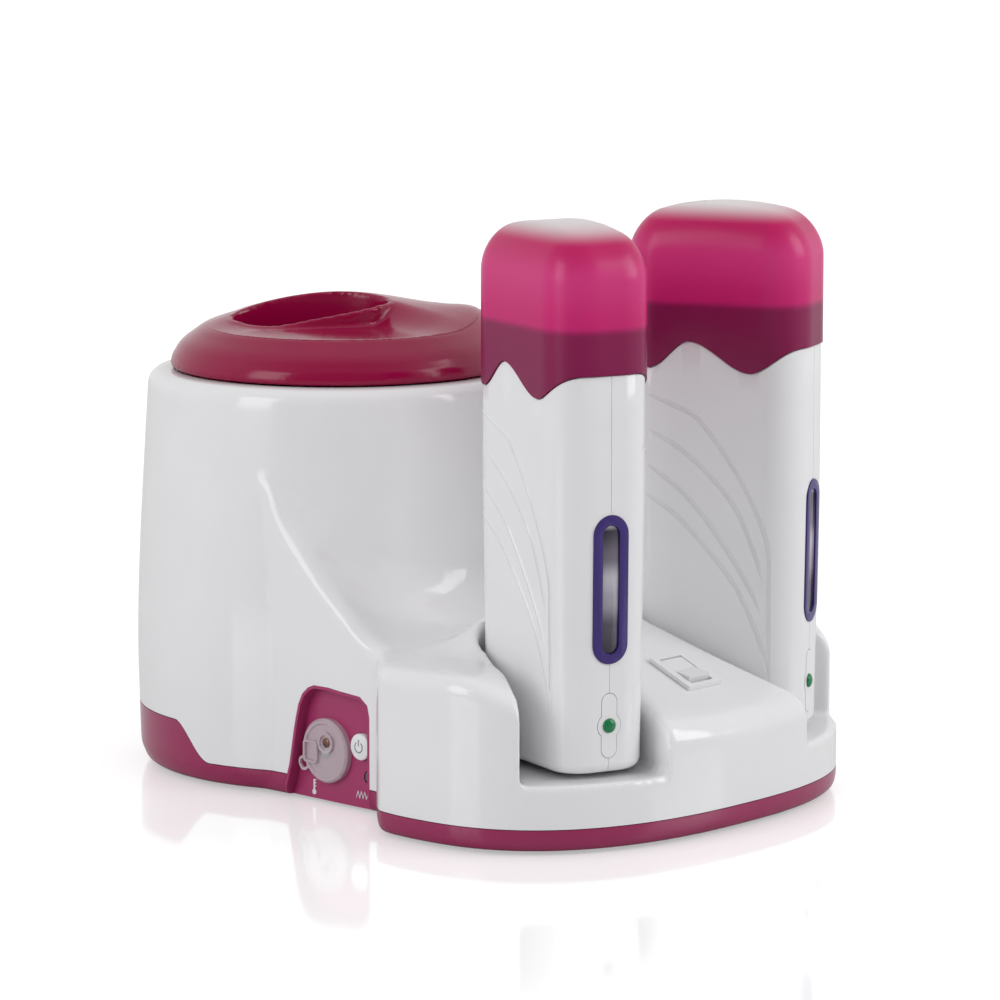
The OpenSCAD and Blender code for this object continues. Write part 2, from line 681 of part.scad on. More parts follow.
// Block with the handset's section, whose side follows [inset, z] points
module section_side(profile, half) polygon(concat(
    [for (p = profile) [half - p[0], p[1]]],
    [for (i = [len(profile) - 1:-1:0]) [profile[i][0] - half, profile[i][1]]]));
module section_block(w, t, r, profile) {
    low = profile[0][1];
    high = profile[len(profile) - 1][1];
    for (sx = [-1, 1], sy = [-1, 1]) translate([sx * (t / 2 - r), sy * (w / 2 - r), 0])
        rotate_extrude($fn = 64) polygon(concat(
            [[0, low]], [for (p = profile) [r - p[0], p[1]]], [[0, high]]));
    rotate([90, 0, 0]) linear_extrude(w - 2 * r, center = true) section_side(profile, t / 2);
    rotate([90, 0, 90]) linear_extrude(t - 2 * r, center = true) section_side(profile, w / 2);
}

// The wave where the cap meets the shell: height for a place n along the wide face
wave = [[-60, 178.6], [-36, 178.6], [-17, 169], [8, 180.5], [24.5, 169.5], [38, 178.5], [60, 178.5]];
function wave_at(y, i = 0) =
    i > len(wave) - 3 || y <= wave[i + 1][0]
    ? mix(wave[i][1], wave[i + 1][1], ease((y - wave[i][0]) / (wave[i + 1][0] - wave[i][0])))
    : wave_at(y, i + 1);
module under_wave(drop) {
    rotate([90, 0, 90]) linear_extrude(80, center = true) polygon(concat(
        [[-60, 0]], [for (y = [-60, each [-40:2.5:40], 60]) [y, wave_at(y) - drop]], [[60, 0]]));
}

collar_in = 1.8;
module handset_solid() {
    intersection() {
        section_block(hs_w, hs_t, hs_r, concat(hs_profile, [[0, 185]]));
        under_wave(0.3);
    }
    section_block(hs_w - 2 * collar_in, hs_t - 2 * collar_in, hs_r - collar_in,
        [[0, 100], [0, collar_z - 0.6], [0.6, collar_z]]);
}

// Upright stadium of width w, length l and depth d, standing on the window face
module upright(w, l, from, to) {
    translate([0, to, 0]) rotate([90, 0, 0]) linear_extrude(to - from) {
        square([w, l - w], center = true);
        for (s = [-1, 1]) translate([0, s * (l - w) / 2]) circle(d = w, $fn = 64);
    }
}
module on_face(z) { translate([0, taper(z) - hs_w / 2, z]) rotate([taper_angle, 0, 0]) children(); }

chamber_t = 27;
chamber_w = 54;
chamber_z0 = 56;
chamber_wall = 1.2;
chamber_flange = 1.2;
post_r = 3.2;
chamber_r = 8;
post_side = chamber_w / 2 + post_r + 0.2;    // posts stand clear of the chamber
screw_spots = [[20, 44], [post_side, 60], [post_side, 160], [-post_side, 150]];
plug_w = 12;
plug_l = 24;
plate_w = 6.4;
plate_l = 24.5;
bulge_r = 4.85;

module shell_hollow() {
    in = hs_wall;
    floor_z = hs_foot + in;
    section_block(hs_w - 2 * in, hs_t - 2 * in, hs_r - in,
        [[3.4, floor_z], [taper(31.5), floor_z + 3], [0, hs_full_z], [0, 166]]);
    section_block(hs_w - 2 * in - 2 * collar_in, hs_t - 2 * in - 2 * collar_in, hs_r - in - collar_in,
        [[0, 160], [0, far]]);
}

// One half of a handset shell: side 1 is the half with the screw heads
module shell_half(half) color(white) {
    difference() {
        intersection() {
            union() {
                difference() {
                    handset_solid();
                    shell_hollow();
                }
                intersection() {
                    handset_solid();
                    for (p = screw_spots) translate([-hs_t / 2 + 1, p[0], p[1]]) rotate([0, 90, 0])
                        cylinder(r = post_r, h = hs_t - 2, $fn = 32);
                }
            }
            translate([half > 0 ? 0.02 : -60, -60, 0]) cube([59.98, 120, 300]);
        }
        for (p = screw_spots) translate([0, p[0], p[1]]) rotate([0, 90, 0]) {
            translate([0, 0, -10]) cylinder(r = 1.1, h = 40, $fn = 32);
            if (half > 0) translate([0, 0, 8]) cylinder(r = 2.2, h = 40, $fn = 32);
        }
        on_face(window_z) upright(frame_w + 2 * fit, frame_l + 2 * fit, -5, 8);
        on_face(led_z) {
            upright(plate_w - 1, plate_l - 1, -5, 8);
            rotate([90, 0, 0]) cylinder(r = led_r + 0.6, h = 20, center = true, $fn = 48);
        }
        translate([-plug_w / 2 - fit, -plug_l / 2 - fit, 0]) cube([plug_w + 2 * fit, plug_l + 2 * fit, 40]);
    }
}

frame_out = 0.4;
module window_frame() color(purple) on_face(window_z) difference() {
    union() {
        upright(frame_w, frame_l, -frame_out, hs_wall + 0.6);
        upright(frame_w + 1.6, frame_l + 2, hs_wall + 0.4, hs_wall + 1.6);
    }
    upright(frame_w - 2 * frame_border, frame_l - 2 * frame_border, -5, 10);
    upright(frame_w - 2 * frame_border + 2, frame_l - 2 * frame_border + 2, 1, 10);
}
module window_lens() color(clear) on_face(window_z)
    upright(frame_w - 2 * frame_border + 1.8, frame_l - 2 * frame_border + 1.8, 1.1, 2.8);

module led_plate() color(white) on_face(led_z) difference() {
    union() {
        upright(plate_w, plate_l, -0.9, -0.15);
        rotate([90, 0, 0]) translate([0, 0, 0.15]) cylinder(r = bulge_r, h = 0.75, $fn = 64);
        upright(plate_w - 1.2, plate_l - 1.2, -0.2, 2.4);
    }
    rotate([90, 0, 0]) cylinder(r = led_r + fit, h = 20, center = true, $fn = 48);
}
module led_lens() color([0.1, 0.5, 0.3]) on_face(led_z) rotate([-90, 0, 0]) {
    rotate_extrude($fn = 48)
        polygon([[0, -1.5], [led_r * 0.5, -1.4], [led_r * 0.85, -1.15], [led_r, -0.8], [led_r, 5], [0, 5]]);
}

// Heated tray that the wax cartridge slides into, its flange fitting the hollow of the collar
module heater_chamber() color(alloy) difference() {
    seat = hs_wall + collar_in + fit;
    flange_low = collar_z - 6;
    union() {
        section_block(chamber_w, chamber_t, chamber_r, [[0, chamber_z0], [0, flange_low]]);
        section_block(hs_w - 2 * seat, hs_t - 2 * seat, hs_r - seat,
            [[0, flange_low], [0, flange_low + chamber_flange]]);
    }
    section_block(chamber_w - 2 * chamber_wall, chamber_t - 2 * chamber_wall, chamber_r - chamber_wall,
        [[0, chamber_z0 + chamber_wall], [0, far]]);
    translate([0, -chamber_w / 2, window_z]) upright(8, frame_l - 8, -5, 5);
}
heater = [2.4, 24, 50];     // thickness, width and length of the heater plate
module heater_plate() color([0.9, 0.9, 0.86])
    translate([chamber_t / 2 + fit, -heater[1] / 2, chamber_z0 + 22]) cube(heater);

module plug() color(black) difference() {
    translate([-plug_w / 2, -plug_l / 2, hs_foot + 0.3]) cube([plug_w, plug_l, 14]);
    for (s = [-1, 1]) translate([0, s * pin_gap / 2, 0]) cylinder(r = pin_r + 0.4, h = hs_foot + 8, $fn = 32);
}

module screws() color(steel) for (p = screw_spots) translate([0, p[0], p[1]]) rotate([0, 90, 0]) {
    translate([0, 0, -9]) cylinder(r = 1, h = 17 + 0.2, $fn = 32);
    translate([0, 0, 8 + fit]) cylinder(r = 2, h = 1.6, $fn = 32);
}

cap_round = 13;
cap_crown = 0.0062;
// Space under the cap's crowned top, curved along its wide faces
module under_crown(drop) {
    rotate([90, 0, 90]) linear_extrude(80, center = true) polygon(concat(
        [[-60, 100]], [for (y = [-60:6:60]) [y, cap_z - drop - cap_crown * y * y]], [[60, 100]]));
}
module cap_block(inset) {
    r = cap_round - inset;
    z = cap_z - inset;
    intersection() {
        section_block(hs_w + 2 * (cap_proud - inset), hs_t + 2 * (cap_proud - inset),
            hs_r + cap_proud - inset, concat([[0, 155 - inset]],
                [for (a = [0:15:75]) [r * (1 - cos(a)), z - r + r * sin(a)]], [[r, z]]));
        under_crown(inset);
    }
}
module cap() color(cap_pink) difference() {
    cap_block(0);
    cap_block(cap_wall);
    under_wave(0);
    for (s = [-1, 1]) translate([0, 12 + s * 3, cap_z - 6]) cylinder(r = 0.8, h = 10, $fn = 24);
}

// --- lid ---

lid_z = pot_h + 0.3;
ring_gap = 2;        // from the step in the rim to the ring that stiffens the lid's edge
ring_h = 4.6;
lid_profile = [[lid_r - 2.4, 0], [lid_r - 0.4, 0.3], [lid_r, 1.2], [lid_r - 1.2, 5], [lid_r - 4.4, 10],
    [lid_r - 9.3, 14], [lid_r - 16, 17.8], [lid_r - 28, 21.6], [lid_r - 44, 24.8], [lid_r - 56, 26.2]];
module lid_dome(inset) {
    rotate_extrude($fn = 96) polygon(concat([[0, -inset * 2]],
        [for (p = lid_profile) [p[0] - inset, p[1] * lid_rise / 27 - inset]], [[0, lid_rise - inset]]));
}
// Finger recess: an oval to one side of the middle
recess_at = [-12, -8];
recess_floor = 4 + lid_wall;
module recess_face(grow) {
    translate(recess_at) polygon([for (a = [0:7.5:352.5])
        [(recess_l + grow) * cos(a), (recess_w + grow) * sin(a)]]);
}
shelf_z = 16.8;
shelf_r = lid_r - 13.3;
// Lowered shelf in front of the recess
module shelf(grow) translate([0, 0, shelf_z - grow]) linear_extrude(40) difference() {
    intersection() {
        circle(r = shelf_r + grow, $fn = 96);
        translate([-far, -far]) square([2 * far, far + recess_at[1] + grow]);
    }
    recess_face(lid_wall - grow);
}
module lid() at_pot() color(lid_red) translate([0, 0, lid_z]) rotate([0, 0, -lid_turn]) {
    difference() {
        lid_dome(0);
        shelf(0);
        difference() {
            lid_dome(lid_wall);
            shelf(lid_wall);
            translate([0, 0, recess_floor - lid_wall]) linear_extrude(40) recess_face(lid_wall);
        }
        translate([0, 0, recess_floor]) linear_extrude(40) recess_face(0);
    }
    difference() {
        cylinder(r = step_r - ring_gap, h = ring_h, $fn = 96);
        translate([0, 0, -1]) cylinder(r = step_r - ring_gap - 1.6, h = ring_h + 2, $fn = 96);
    }
}

// --- handsets in the dock ---

module left() { at_handset(-1) children(); }
module right() { at_handset(1) children(); }
module left_shell_outer() { left() shell_half(-1); }
module left_shell_inner() { left() shell_half(1); }
module left_window_frame() { left() window_frame(); }
module left_window_lens() { left() window_lens(); }
module left_led_plate() { left() led_plate(); }
module left_led_lens() { left() led_lens(); }
module left_heater_chamber() { left() heater_chamber(); }
module left_heater_plate() { left() heater_plate(); }
module left_plug() { left() plug(); }
module left_screws() { left() screws(); }
module left_cap() { left() cap(); }
module right_shell_outer() { right() shell_half(1); }
module right_shell_inner() { right() shell_half(-1); }
module right_window_frame() { right() window_frame(); }
module right_window_lens() { right() window_lens(); }
module right_led_plate() { right() led_plate(); }
module right_led_lens() { right() led_lens(); }
module right_heater_chamber() { right() heater_chamber(); }
module right_heater_plate() { right() heater_plate(); }
module right_plug() { right() plug(); }
module right_screws() { right() screws(); }
module right_cap() { right() cap(); }

top_shell();
base_tub();
control_panel();
panel_icons();
panel_board();
rubber_feet();
case_screws();
well_seal();
heating_well();
band_heater();
thermal_cutout();
thermostat_body();
button_switch();
indicator_lamp();
power_inlet();
terminal_block();
wiring();
control_board();
board_parts();
rocker_bezel();
rocker_housing();
dock_socket_left();
dock_socket_right();
thermostat_dial();
thermostat_shaft();
power_button();
rocker_key();
wax_pot();
lid();
left_shell_outer();
left_shell_inner();
left_window_frame();
left_window_lens();
left_led_plate();
left_led_lens();
left_heater_chamber();
left_heater_plate();
left_plug();
left_screws();
left_cap();
right_shell_outer();
right_shell_inner();
right_window_frame();
right_window_lens();
right_led_plate();
right_led_lens();
right_heater_chamber();
right_heater_plate();
right_plug();
right_screws();
right_cap();
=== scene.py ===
# Roll on wax heater: a round wax pot with two roll on handsets standing in the dock in front of it.
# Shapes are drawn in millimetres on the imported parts' own axes, and every finished piece is in metres.
import json
import math
import bmesh
import bpy
from mathutils import Matrix, Vector


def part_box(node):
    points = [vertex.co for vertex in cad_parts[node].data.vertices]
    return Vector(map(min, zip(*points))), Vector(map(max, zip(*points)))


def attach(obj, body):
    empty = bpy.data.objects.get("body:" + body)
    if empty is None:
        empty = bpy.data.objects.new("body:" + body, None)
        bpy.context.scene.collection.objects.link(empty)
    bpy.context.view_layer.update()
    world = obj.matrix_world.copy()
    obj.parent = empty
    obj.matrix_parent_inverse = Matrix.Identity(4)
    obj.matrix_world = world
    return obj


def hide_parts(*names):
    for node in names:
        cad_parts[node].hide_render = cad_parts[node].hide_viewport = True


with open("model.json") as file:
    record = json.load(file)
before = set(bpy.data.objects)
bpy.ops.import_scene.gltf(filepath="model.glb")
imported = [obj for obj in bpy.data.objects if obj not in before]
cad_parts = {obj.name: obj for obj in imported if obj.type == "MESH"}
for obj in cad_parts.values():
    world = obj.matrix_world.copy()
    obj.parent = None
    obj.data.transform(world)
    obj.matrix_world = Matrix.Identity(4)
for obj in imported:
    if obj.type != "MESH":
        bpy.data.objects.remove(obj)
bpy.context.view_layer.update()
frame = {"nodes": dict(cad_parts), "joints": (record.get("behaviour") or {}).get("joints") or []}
scene = bpy.context.scene
metre = 0.001          # metres in a millimetre
still = Matrix.Identity(4)
outwards = Matrix.Rotation(math.radians(90), 4, "X")       # turns z out of an upright face
sideways = Matrix.Rotation(math.radians(90), 4, "Y")


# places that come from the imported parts

def middleOf(node):
    low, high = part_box(node)
    return (low + high) / 2 / metre


def jointNamed(name):
    return next(joint for joint in frame["joints"] if joint["name"] == name)


potMiddle = middleOf("wax_pot")
potFrame = Matrix.Translation((potMiddle.x, potMiddle.y, 0))
sides = {"left": -1, "right": 1}
fan = math.radians(19.7)


def handsetFrame(side):
    spot = middleOf(side + "_plug")
    return Matrix.Translation((spot.x, spot.y, 0)) @ Matrix.Rotation(sides[side] * fan, 4, "Z")


def panelFrame():
    # x runs along the panel towards the dock, y goes into the housing, z is up
    dial = jointNamed("dial_turn")
    outward = Vector(dial["axis"]).normalized()
    along = Vector((0, 0, 1)).cross(outward)
    place = Matrix((along, -outward, (0, 0, 1))).transposed().to_4x4()
    return Matrix.Translation(Vector(dial["pos_m"]) / metre) @ place


def rockerFrame():
    hinge = jointNamed("rocker_tilt")
    return Matrix.Translation(Vector(hinge["pos_m"]) / metre) @ \
        Matrix.Rotation(math.radians(housing["deckSlope"]), 4, "X")


# shape helpers

def mix(a, b, t):
    return a + (b - a) * t


def ease(t):
    t = min(1, max(0, t))
    return t * t * (3 - 2 * t)


def arcPoints(cx, cy, radius, start, stop, steps):
    angles = [math.radians(mix(start, stop, i / steps)) for i in range(steps + 1)]
    return [(cx + radius * math.cos(a), cy + radius * math.sin(a)) for a in angles]


def curveAt(points, t):
    # smooth curve through (t, value) points, level past both ends
    if t <= points[0][0]:
        return points[0][1]
    if t >= points[-1][0]:
        return points[-1][1]
    i = next(k for k in range(len(points) - 1) if t <= points[k + 1][0])
    (t0, v0), (t1, v1) = points[i], points[i + 1]
    before = points[max(i - 1, 0)]
    after = points[min(i + 2, len(points) - 1)]
    slope0 = (v1 - before[1]) / (t1 - before[0])
    slope1 = (after[1] - v0) / (after[0] - t0)
    span = t1 - t0
    s = (t - t0) / span
    return ((1 + 2 * s) * (1 - s) ** 2 * v0 + s * (1 - s) ** 2 * span * slope0
            + s * s * (3 - 2 * s) * v1 + s * s * (s - 1) * span * slope1)


def roundDrop(gap, radius):
    # how far a rounded edge has dropped at a distance from it
    if gap >= radius:
        return 0
    gap = max(gap, 0)
    return radius - math.sqrt(radius * radius - (radius - gap) ** 2)


def toObject(bm, name="tool"):
    mesh = bpy.data.meshes.new(name)
    bm.to_mesh(mesh)
    bm.free()
    obj = bpy.data.objects.new(name, mesh)
    scene.collection.objects.link(obj)
    return obj


def closedSolid(bm, place=still):
    bmesh.ops.recalc_face_normals(bm, faces=bm.faces)
    bmesh.ops.transform(bm, matrix=place, verts=bm.verts)
    return toObject(bm)


def newVerts(result):
    return [item for item in result["geom"] if isinstance(item, bmesh.types.BMVert)]


def prism(outline, low, high, place=still):
    bm = bmesh.new()
    base = bm.faces.new([bm.verts.new((x, y, low)) for x, y in outline])
    top = bmesh.ops.extrude_face_region(bm, geom=[base])
    bmesh.ops.translate(bm, vec=(0, 0, high - low), verts=newVerts(top))
    return closedSolid(bm, place)


def turned(profile, steps=128, place=still):
    # profile of (radius, height) points; one that starts off the axis is closed to a ring
    bm = bmesh.new()
    verts = [bm.verts.new((r, 0, z)) for r, z in profile]
    pairs = list(zip(verts, verts[1:]))
    if profile[0][0] > 0:
        pairs.append((verts[-1], verts[0]))
    edges = [bm.edges.new(pair) for pair in pairs]
    bmesh.ops.spin(bm, geom=verts + edges, cent=(0, 0, 0), axis=(0, 0, 1), angle=math.tau,
                   steps=steps, use_merge=True)
    bmesh.ops.remove_doubles(bm, verts=bm.verts, dist=0.001)
    return closedSolid(bm, place)


def lofted(rings, place=still):
    # rings of the same number of points, extruded one from the other and closed at both ends
    bm = bmesh.new()
    base = bm.faces.new([bm.verts.new(p) for p in rings[0]])
    edges = list(base.edges)
    loop = list(base.verts)
    for ring in rings[1:]:
        grown = bmesh.ops.extrude_edge_only(bm, edges=edges)
        fresh = newVerts(grown)
        edges = [e for e in grown["geom"] if isinstance(e, bmesh.types.BMEdge)
                 and all(v in fresh for v in e.verts)]
        partner = {}
        for vert in fresh:
            for edge in vert.link_edges:
                other = edge.other_vert(vert)
                if other in loop:
                    partner[other] = vert
        loop = [partner[vert] for vert in loop]
        for vert, point in zip(loop, ring):
            vert.co = point
    bm.faces.new(loop)
    return closedSolid(bm, place)


def box(low, high, place=still):
    bm = bmesh.new()
    size = Vector(high) - Vector(low)
    bmesh.ops.create_cube(bm, size=1)
    bmesh.ops.scale(bm, vec=size, verts=bm.verts)
    bmesh.ops.translate(bm, vec=(Vector(low) + Vector(high)) / 2, verts=bm.verts)
    return closedSolid(bm, place)


def offsetOutline(points, distance):
    # an outline that runs anticlockwise, moved outwards
    moved = []
    for before, here, after in zip(points[-1:] + points[:-1], points, points[1:] + points[:1]):
        a = (Vector(here) - Vector(before)).normalized()
        b = (Vector(after) - Vector(here)).normalized()
        normal = Vector((a.y + b.y, -a.x - b.x))
        scale = distance * 2 / max(normal.length_squared, 0.5)
        moved.append((here[0] + normal.x * scale, here[1] + normal.y * scale))
    return moved


def surfaceBlock(low, high, floor, steps, height):
    # block over a rectangle with its top at height(x, y)
    bm = bmesh.new()
    bmesh.ops.create_grid(bm, x_segments=steps, y_segments=steps, size=1)
    top = bmesh.ops.extrude_face_region(bm, geom=bm.faces[:])
    raised = set(newVerts(top))
    for vert in bm.verts:
        x = mix(low[0], high[0], (vert.co.x + 1) / 2)
        y = mix(low[1], high[1], (vert.co.y + 1) / 2)
        vert.co = (x, y, height(x, y) if vert in raised else floor)
    return closedSolid(bm)


def bake(obj):
    graph = bpy.context.evaluated_depsgraph_get()
    mesh = bpy.data.meshes.new_from_object(obj.evaluated_get(graph))
    obj.modifiers.clear()
    obj.data = mesh
    return obj


def twin(obj):
    other = bpy.data.objects.new(obj.name, obj.data.copy())
    scene.collection.objects.link(other)
    return other


def combine(obj, tool, how):
    joining = obj.modifiers.new("joining", "BOOLEAN")
    joining.object = tool
    joining.operation = how
    joining.solver = "MANIFOLD"
    bake(obj)
    bpy.data.objects.remove(tool)
    return obj


def cut(obj, *tools):
    for tool in tools:
        combine(obj, tool, "DIFFERENCE")
    return obj


def join(obj, *tools):
    for tool in tools:
        combine(obj, tool, "UNION")
    return obj


def keep(obj, tool):
    return combine(obj, tool, "INTERSECT")


def addRemesh(obj, voxel):
    remesh = obj.modifiers.new("remesh", "REMESH")
    remesh.mode = "VOXEL"
    remesh.voxel_size = voxel


def soften(obj, voxel, passes):
    # even quads over the whole surface, then the steps and edges smoothed away
    addRemesh(obj, voxel)
    smooth = obj.modifiers.new("smooth", "SMOOTH")
    smooth.iterations = passes
    smooth.factor = 0.5
    return bake(obj)


def bevelled(obj, width, segments=3):
    bevel = obj.modifiers.new("bevel", "BEVEL")
    bevel.width = width
    bevel.segments = segments
    bevel.limit_method = "ANGLE"
    bevel.angle_limit = math.radians(40)
    return bake(obj)


def cylinder(radius, low, high, place=still, steps=48):
    return turned([(0, low), (radius, low), (radius, high), (0, high)], steps, place)


def wireTool(path, place=still):
    # round wire through (x, y, z, radius) points, to cut a groove with
    data = bpy.data.curves.new("wire", "CURVE")
    data.dimensions = "3D"
    data.bevel_depth = 1
    data.bevel_resolution = 3
    data.use_fill_caps = True
    spline = data.splines.new("POLY")
    spline.points.add(len(path) - 1)
    for point, (x, y, z, radius) in zip(spline.points, path):
        point.co = (x, y, z, 1)
        point.radius = radius
    obj = bpy.data.objects.new("wire", data)
    scene.collection.objects.link(obj)
    graph = bpy.context.evaluated_depsgraph_get()
    bm = bmesh.new()
    bm.from_mesh(obj.evaluated_get(graph).to_mesh())
    bpy.data.objects.remove(obj)
    bmesh.ops.remove_doubles(bm, verts=bm.verts, dist=0.001)
    return closedSolid(bm, place)


def finishPiece(obj, name, body, material, replaces=(), sharp=35):
    obj.name = name
    obj.data.name = name
    obj.data.transform(Matrix.Scale(metre, 4))
    obj.data.shade_smooth()
    obj.data.set_sharp_from_angle(angle=math.radians(sharp))
    obj.data.materials.clear()
    obj.data.materials.append(material)
    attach(obj, body)
    if replaces:
        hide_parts(*replaces)
    return obj


# finishes

def linear(code):
    # sRGB hex to the linear colour that a shader takes
    parts = [int(code[i:i + 2], 16) / 255 for i in (1, 3, 5)]
    return [c / 12.92 if c <= 0.04045 else ((c + 0.055) / 1.055) ** 2.4 for c in parts] + [1]


def addNode(tree, kind, settings=None, links=None):
    made = tree.nodes.new(kind)
    for key, value in (settings or {}).items():
        if isinstance(key, str) and hasattr(made, key):
            setattr(made, key, value)
        else:
            made.inputs[key].default_value = value
    for key, source in (links or {}).items():
        tree.links.new(source, made.inputs[key])
    return made


def moulding(name, colour, roughness=0.15, grain=3.0, dimple=0.02, fleck=0.05, **sockets):
    # injection moulded plastic: a soft orange peel and a roughness that wanders a little
    made = bpy.data.materials.new(name)
    made.use_nodes = True
    tree = made.node_tree
    shader = tree.nodes["Principled BSDF"]
    place = addNode(tree, "ShaderNodeTexCoord").outputs["Object"]
    peel = addNode(tree, "ShaderNodeTexNoise", {"Scale": 1 / (grain * metre), "Detail": 2.0},
                   {"Vector": place})
    bump = addNode(tree, "ShaderNodeBump", {"Strength": dimple, "Distance": 0.0005},
                   {"Height": peel.outputs["Fac"]})
    tree.links.new(bump.outputs["Normal"], shader.inputs["Normal"])
    cloud = addNode(tree, "ShaderNodeTexNoise", {"Scale": 45.0, "Detail": 4.0}, {"Vector": place})
    wander = addNode(tree, "ShaderNodeMapRange",
                     {"To Min": roughness * (1 - fleck * 4), "To Max": roughness * (1 + fleck * 4)},
                     {"Value": cloud.outputs["Fac"]})
    tree.links.new(wander.outputs["Result"], shader.inputs["Roughness"])
    shade = addNode(tree, "ShaderNodeMix", {"data_type": "RGBA"}, {0: cloud.outputs["Fac"]})
    base = linear(colour)
    shade.inputs[6].default_value = [c * (1 - fleck / 2) for c in base[:3]] + [1]
    shade.inputs[7].default_value = [min(1, c * (1 + fleck / 2)) for c in base[:3]] + [1]
    tree.links.new(shade.outputs[2], shader.inputs["Base Color"])
    for key, value in sockets.items():
        shader.inputs[key.replace("_", " ")].default_value = value
    return made


def byHeight(material, stops, along=(0, 0, 1000)):
    # colour that changes along a direction, given as (millimetres, hex) stops
    tree = material.node_tree
    shader = tree.nodes["Principled BSDF"]
    place = addNode(tree, "ShaderNodeTexCoord").outputs["Object"]
    reach = addNode(tree, "ShaderNodeVectorMath", {"operation": "DOT_PRODUCT", 1: along}, {0: place})
    low, high = stops[0][0], stops[-1][0]
    part = addNode(tree, "ShaderNodeMapRange", {"From Min": low, "From Max": high},
                   {"Value": reach.outputs["Value"]})
    ramp = addNode(tree, "ShaderNodeValToRGB", links={"Fac": part.outputs["Result"]})
    ramp.color_ramp.interpolation = "EASE"
    for i, (reachAt, code) in enumerate(stops):
        spot = (reachAt - low) / (high - low)
        stop = ramp.color_ramp.elements[0] if i == 0 else ramp.color_ramp.elements.new(spot)
        stop.position = spot
        stop.color = linear(code)
    ramp.color_ramp.elements.remove(ramp.color_ramp.elements[-1])
    tree.links.new(ramp.outputs["Color"], shader.inputs["Base Color"])
    return material


# ABS, polished in the mould: even gloss with broad soft highlights
glossWhite = moulding("glossWhiteAbs", "#efeff1", 0.12, IOR=1.5)
glossMagenta = moulding("glossMagentaAbs", "#9a2458", 0.16, fleck=0.08, IOR=1.5)
panelMagenta = moulding("satinMagentaAbs", "#a83468", 0.36, grain=1.2, dimple=0.05, fleck=0.1, IOR=1.5)
glossPurple = moulding("glossPurpleAbs", "#3a2573", 0.22, IOR=1.5)
# acrylic, dyed through: deep colour with a hard wet highlight
greenLens = moulding("greenAcrylic", "#127a48", 0.08, IOR=1.49)
# polycarbonate, clear: its colour is painted by height, with painted dark at the top and bottom for the case
# behind it and a painted cold streak of light across the middle
windowPaintedStreak = byHeight(moulding("windowPolycarbonate", "#8d8794", 0.08, IOR=1.58),
                       [(73, "#2b2435"), (84, "#4d4657"), (94, "#a29da9"), (102, "#bcb8c2"),
                        (110, "#6d6676"), (120, "#352e3d"), (124, "#2b2435")])
# polycarbonate of the dial, hazed: pale, with a little of the panel's pink
frostedClear = moulding("frostedPolycarbonate", "#f4e6ee", 0.24, IOR=1.58, Transmission_Weight=0.5)
# polypropylene, dyed and moulded thin, letting some light through; its colour is painted by height, with
# painted shade on the skirt below the collar's top and a painted glow on the walls above it
capPaintedGlow = byHeight(moulding("capPolypropylene", "#c22f6d", 0.3, grain=2, dimple=0.03, IOR=1.49,
                              Transmission_Weight=0.35, Specular_IOR_Level=0.22),
                     [(168, "#9c1c5c"), (193, "#a21e60"), (197, "#ec2c88"), (214, "#f44498"),
                      (226, "#e01874"), (234, "#d8247c")])
# acrylic lid, dyed dark red: clear enough to show its far walls as a deeper red
lidRed = moulding("lidAcrylic", "#ab064a", 0.18, fleck=0.04, IOR=1.49, Transmission_Weight=0.3,
                  Specular_IOR_Level=0.32)
# copper pin, turned: a dull warm brown
copperPin = moulding("copperPin", "#7d5e55", 0.35, Metallic=1.0)
# inks: flat and even
markGrey = moulding("markGrey", "#8f8f96", 0.4)
markWhite = moulding("markWhite", "#e9e6ea", 0.4)
# metals inside: a soft sheen
spunAlloy = moulding("spunAluminium", "#c9cacd", 0.28, grain=0.8, dimple=0.04, Metallic=1.0)
brightSteel = moulding("zincSteel", "#b9babd", 0.3, Metallic=1.0)
# rubbers, nylons, resin and ceramic inside: dull, with little highlight
redSilicone = moulding("redSilicone", "#a63a2c", 0.55, grain=1.0, IOR=1.41)
blackNylon = moulding("blackNylon", "#202023", 0.45, grain=0.7, dimple=0.08)
ivoryNylon = moulding("ivoryNylon", "#d8d0bc", 0.45, grain=0.9, dimple=0.05)
feetRubber = moulding("feetRubber", "#2a2a2c", 0.75, grain=0.6, dimple=0.12)
boardGreen = moulding("boardResin", "#1f5a3c", 0.35, grain=1.5)
alumina = moulding("aluminaCeramic", "#dcdcd2", 0.6, grain=0.6, dimple=0.06)
smokedLamp = moulding("smokedLamp", "#77747c", 0.15, IOR=1.49, Transmission_Weight=0.3)
wireBlack = moulding("wirePvc", "#232327", 0.4, grain=1.0)

nodeFinishes = {
    spunAlloy: ("wax_pot", "heating_well", "left_heater_chamber", "right_heater_chamber"),
    brightSteel: ("case_screws", "thermostat_body", "thermostat_shaft", "left_screws",
                  "right_screws"),
    redSilicone: ("well_seal",),
    blackNylon: ("thermal_cutout", "button_switch", "power_inlet", "rocker_housing",
                 "dock_socket_left", "dock_socket_right", "board_parts", "left_plug", "right_plug"),
    ivoryNylon: ("terminal_block",),
    feetRubber: ("rubber_feet",),
    boardGreen: ("control_board", "panel_board"),
    alumina: ("band_heater", "left_heater_plate", "right_heater_plate"),
    smokedLamp: ("indicator_lamp",),
    wireBlack: ("wiring",),
    glossWhite: ("rocker_bezel", "rocker_key"),
}
for finish, names in nodeFinishes.items():
    for name in names:
        mesh = frame["nodes"][name].data
        mesh.materials.clear()
        mesh.materials.append(finish)
print("helpers ready")


# housing: white moulding over a magenta tub, one flowing form of pot, neck and dock

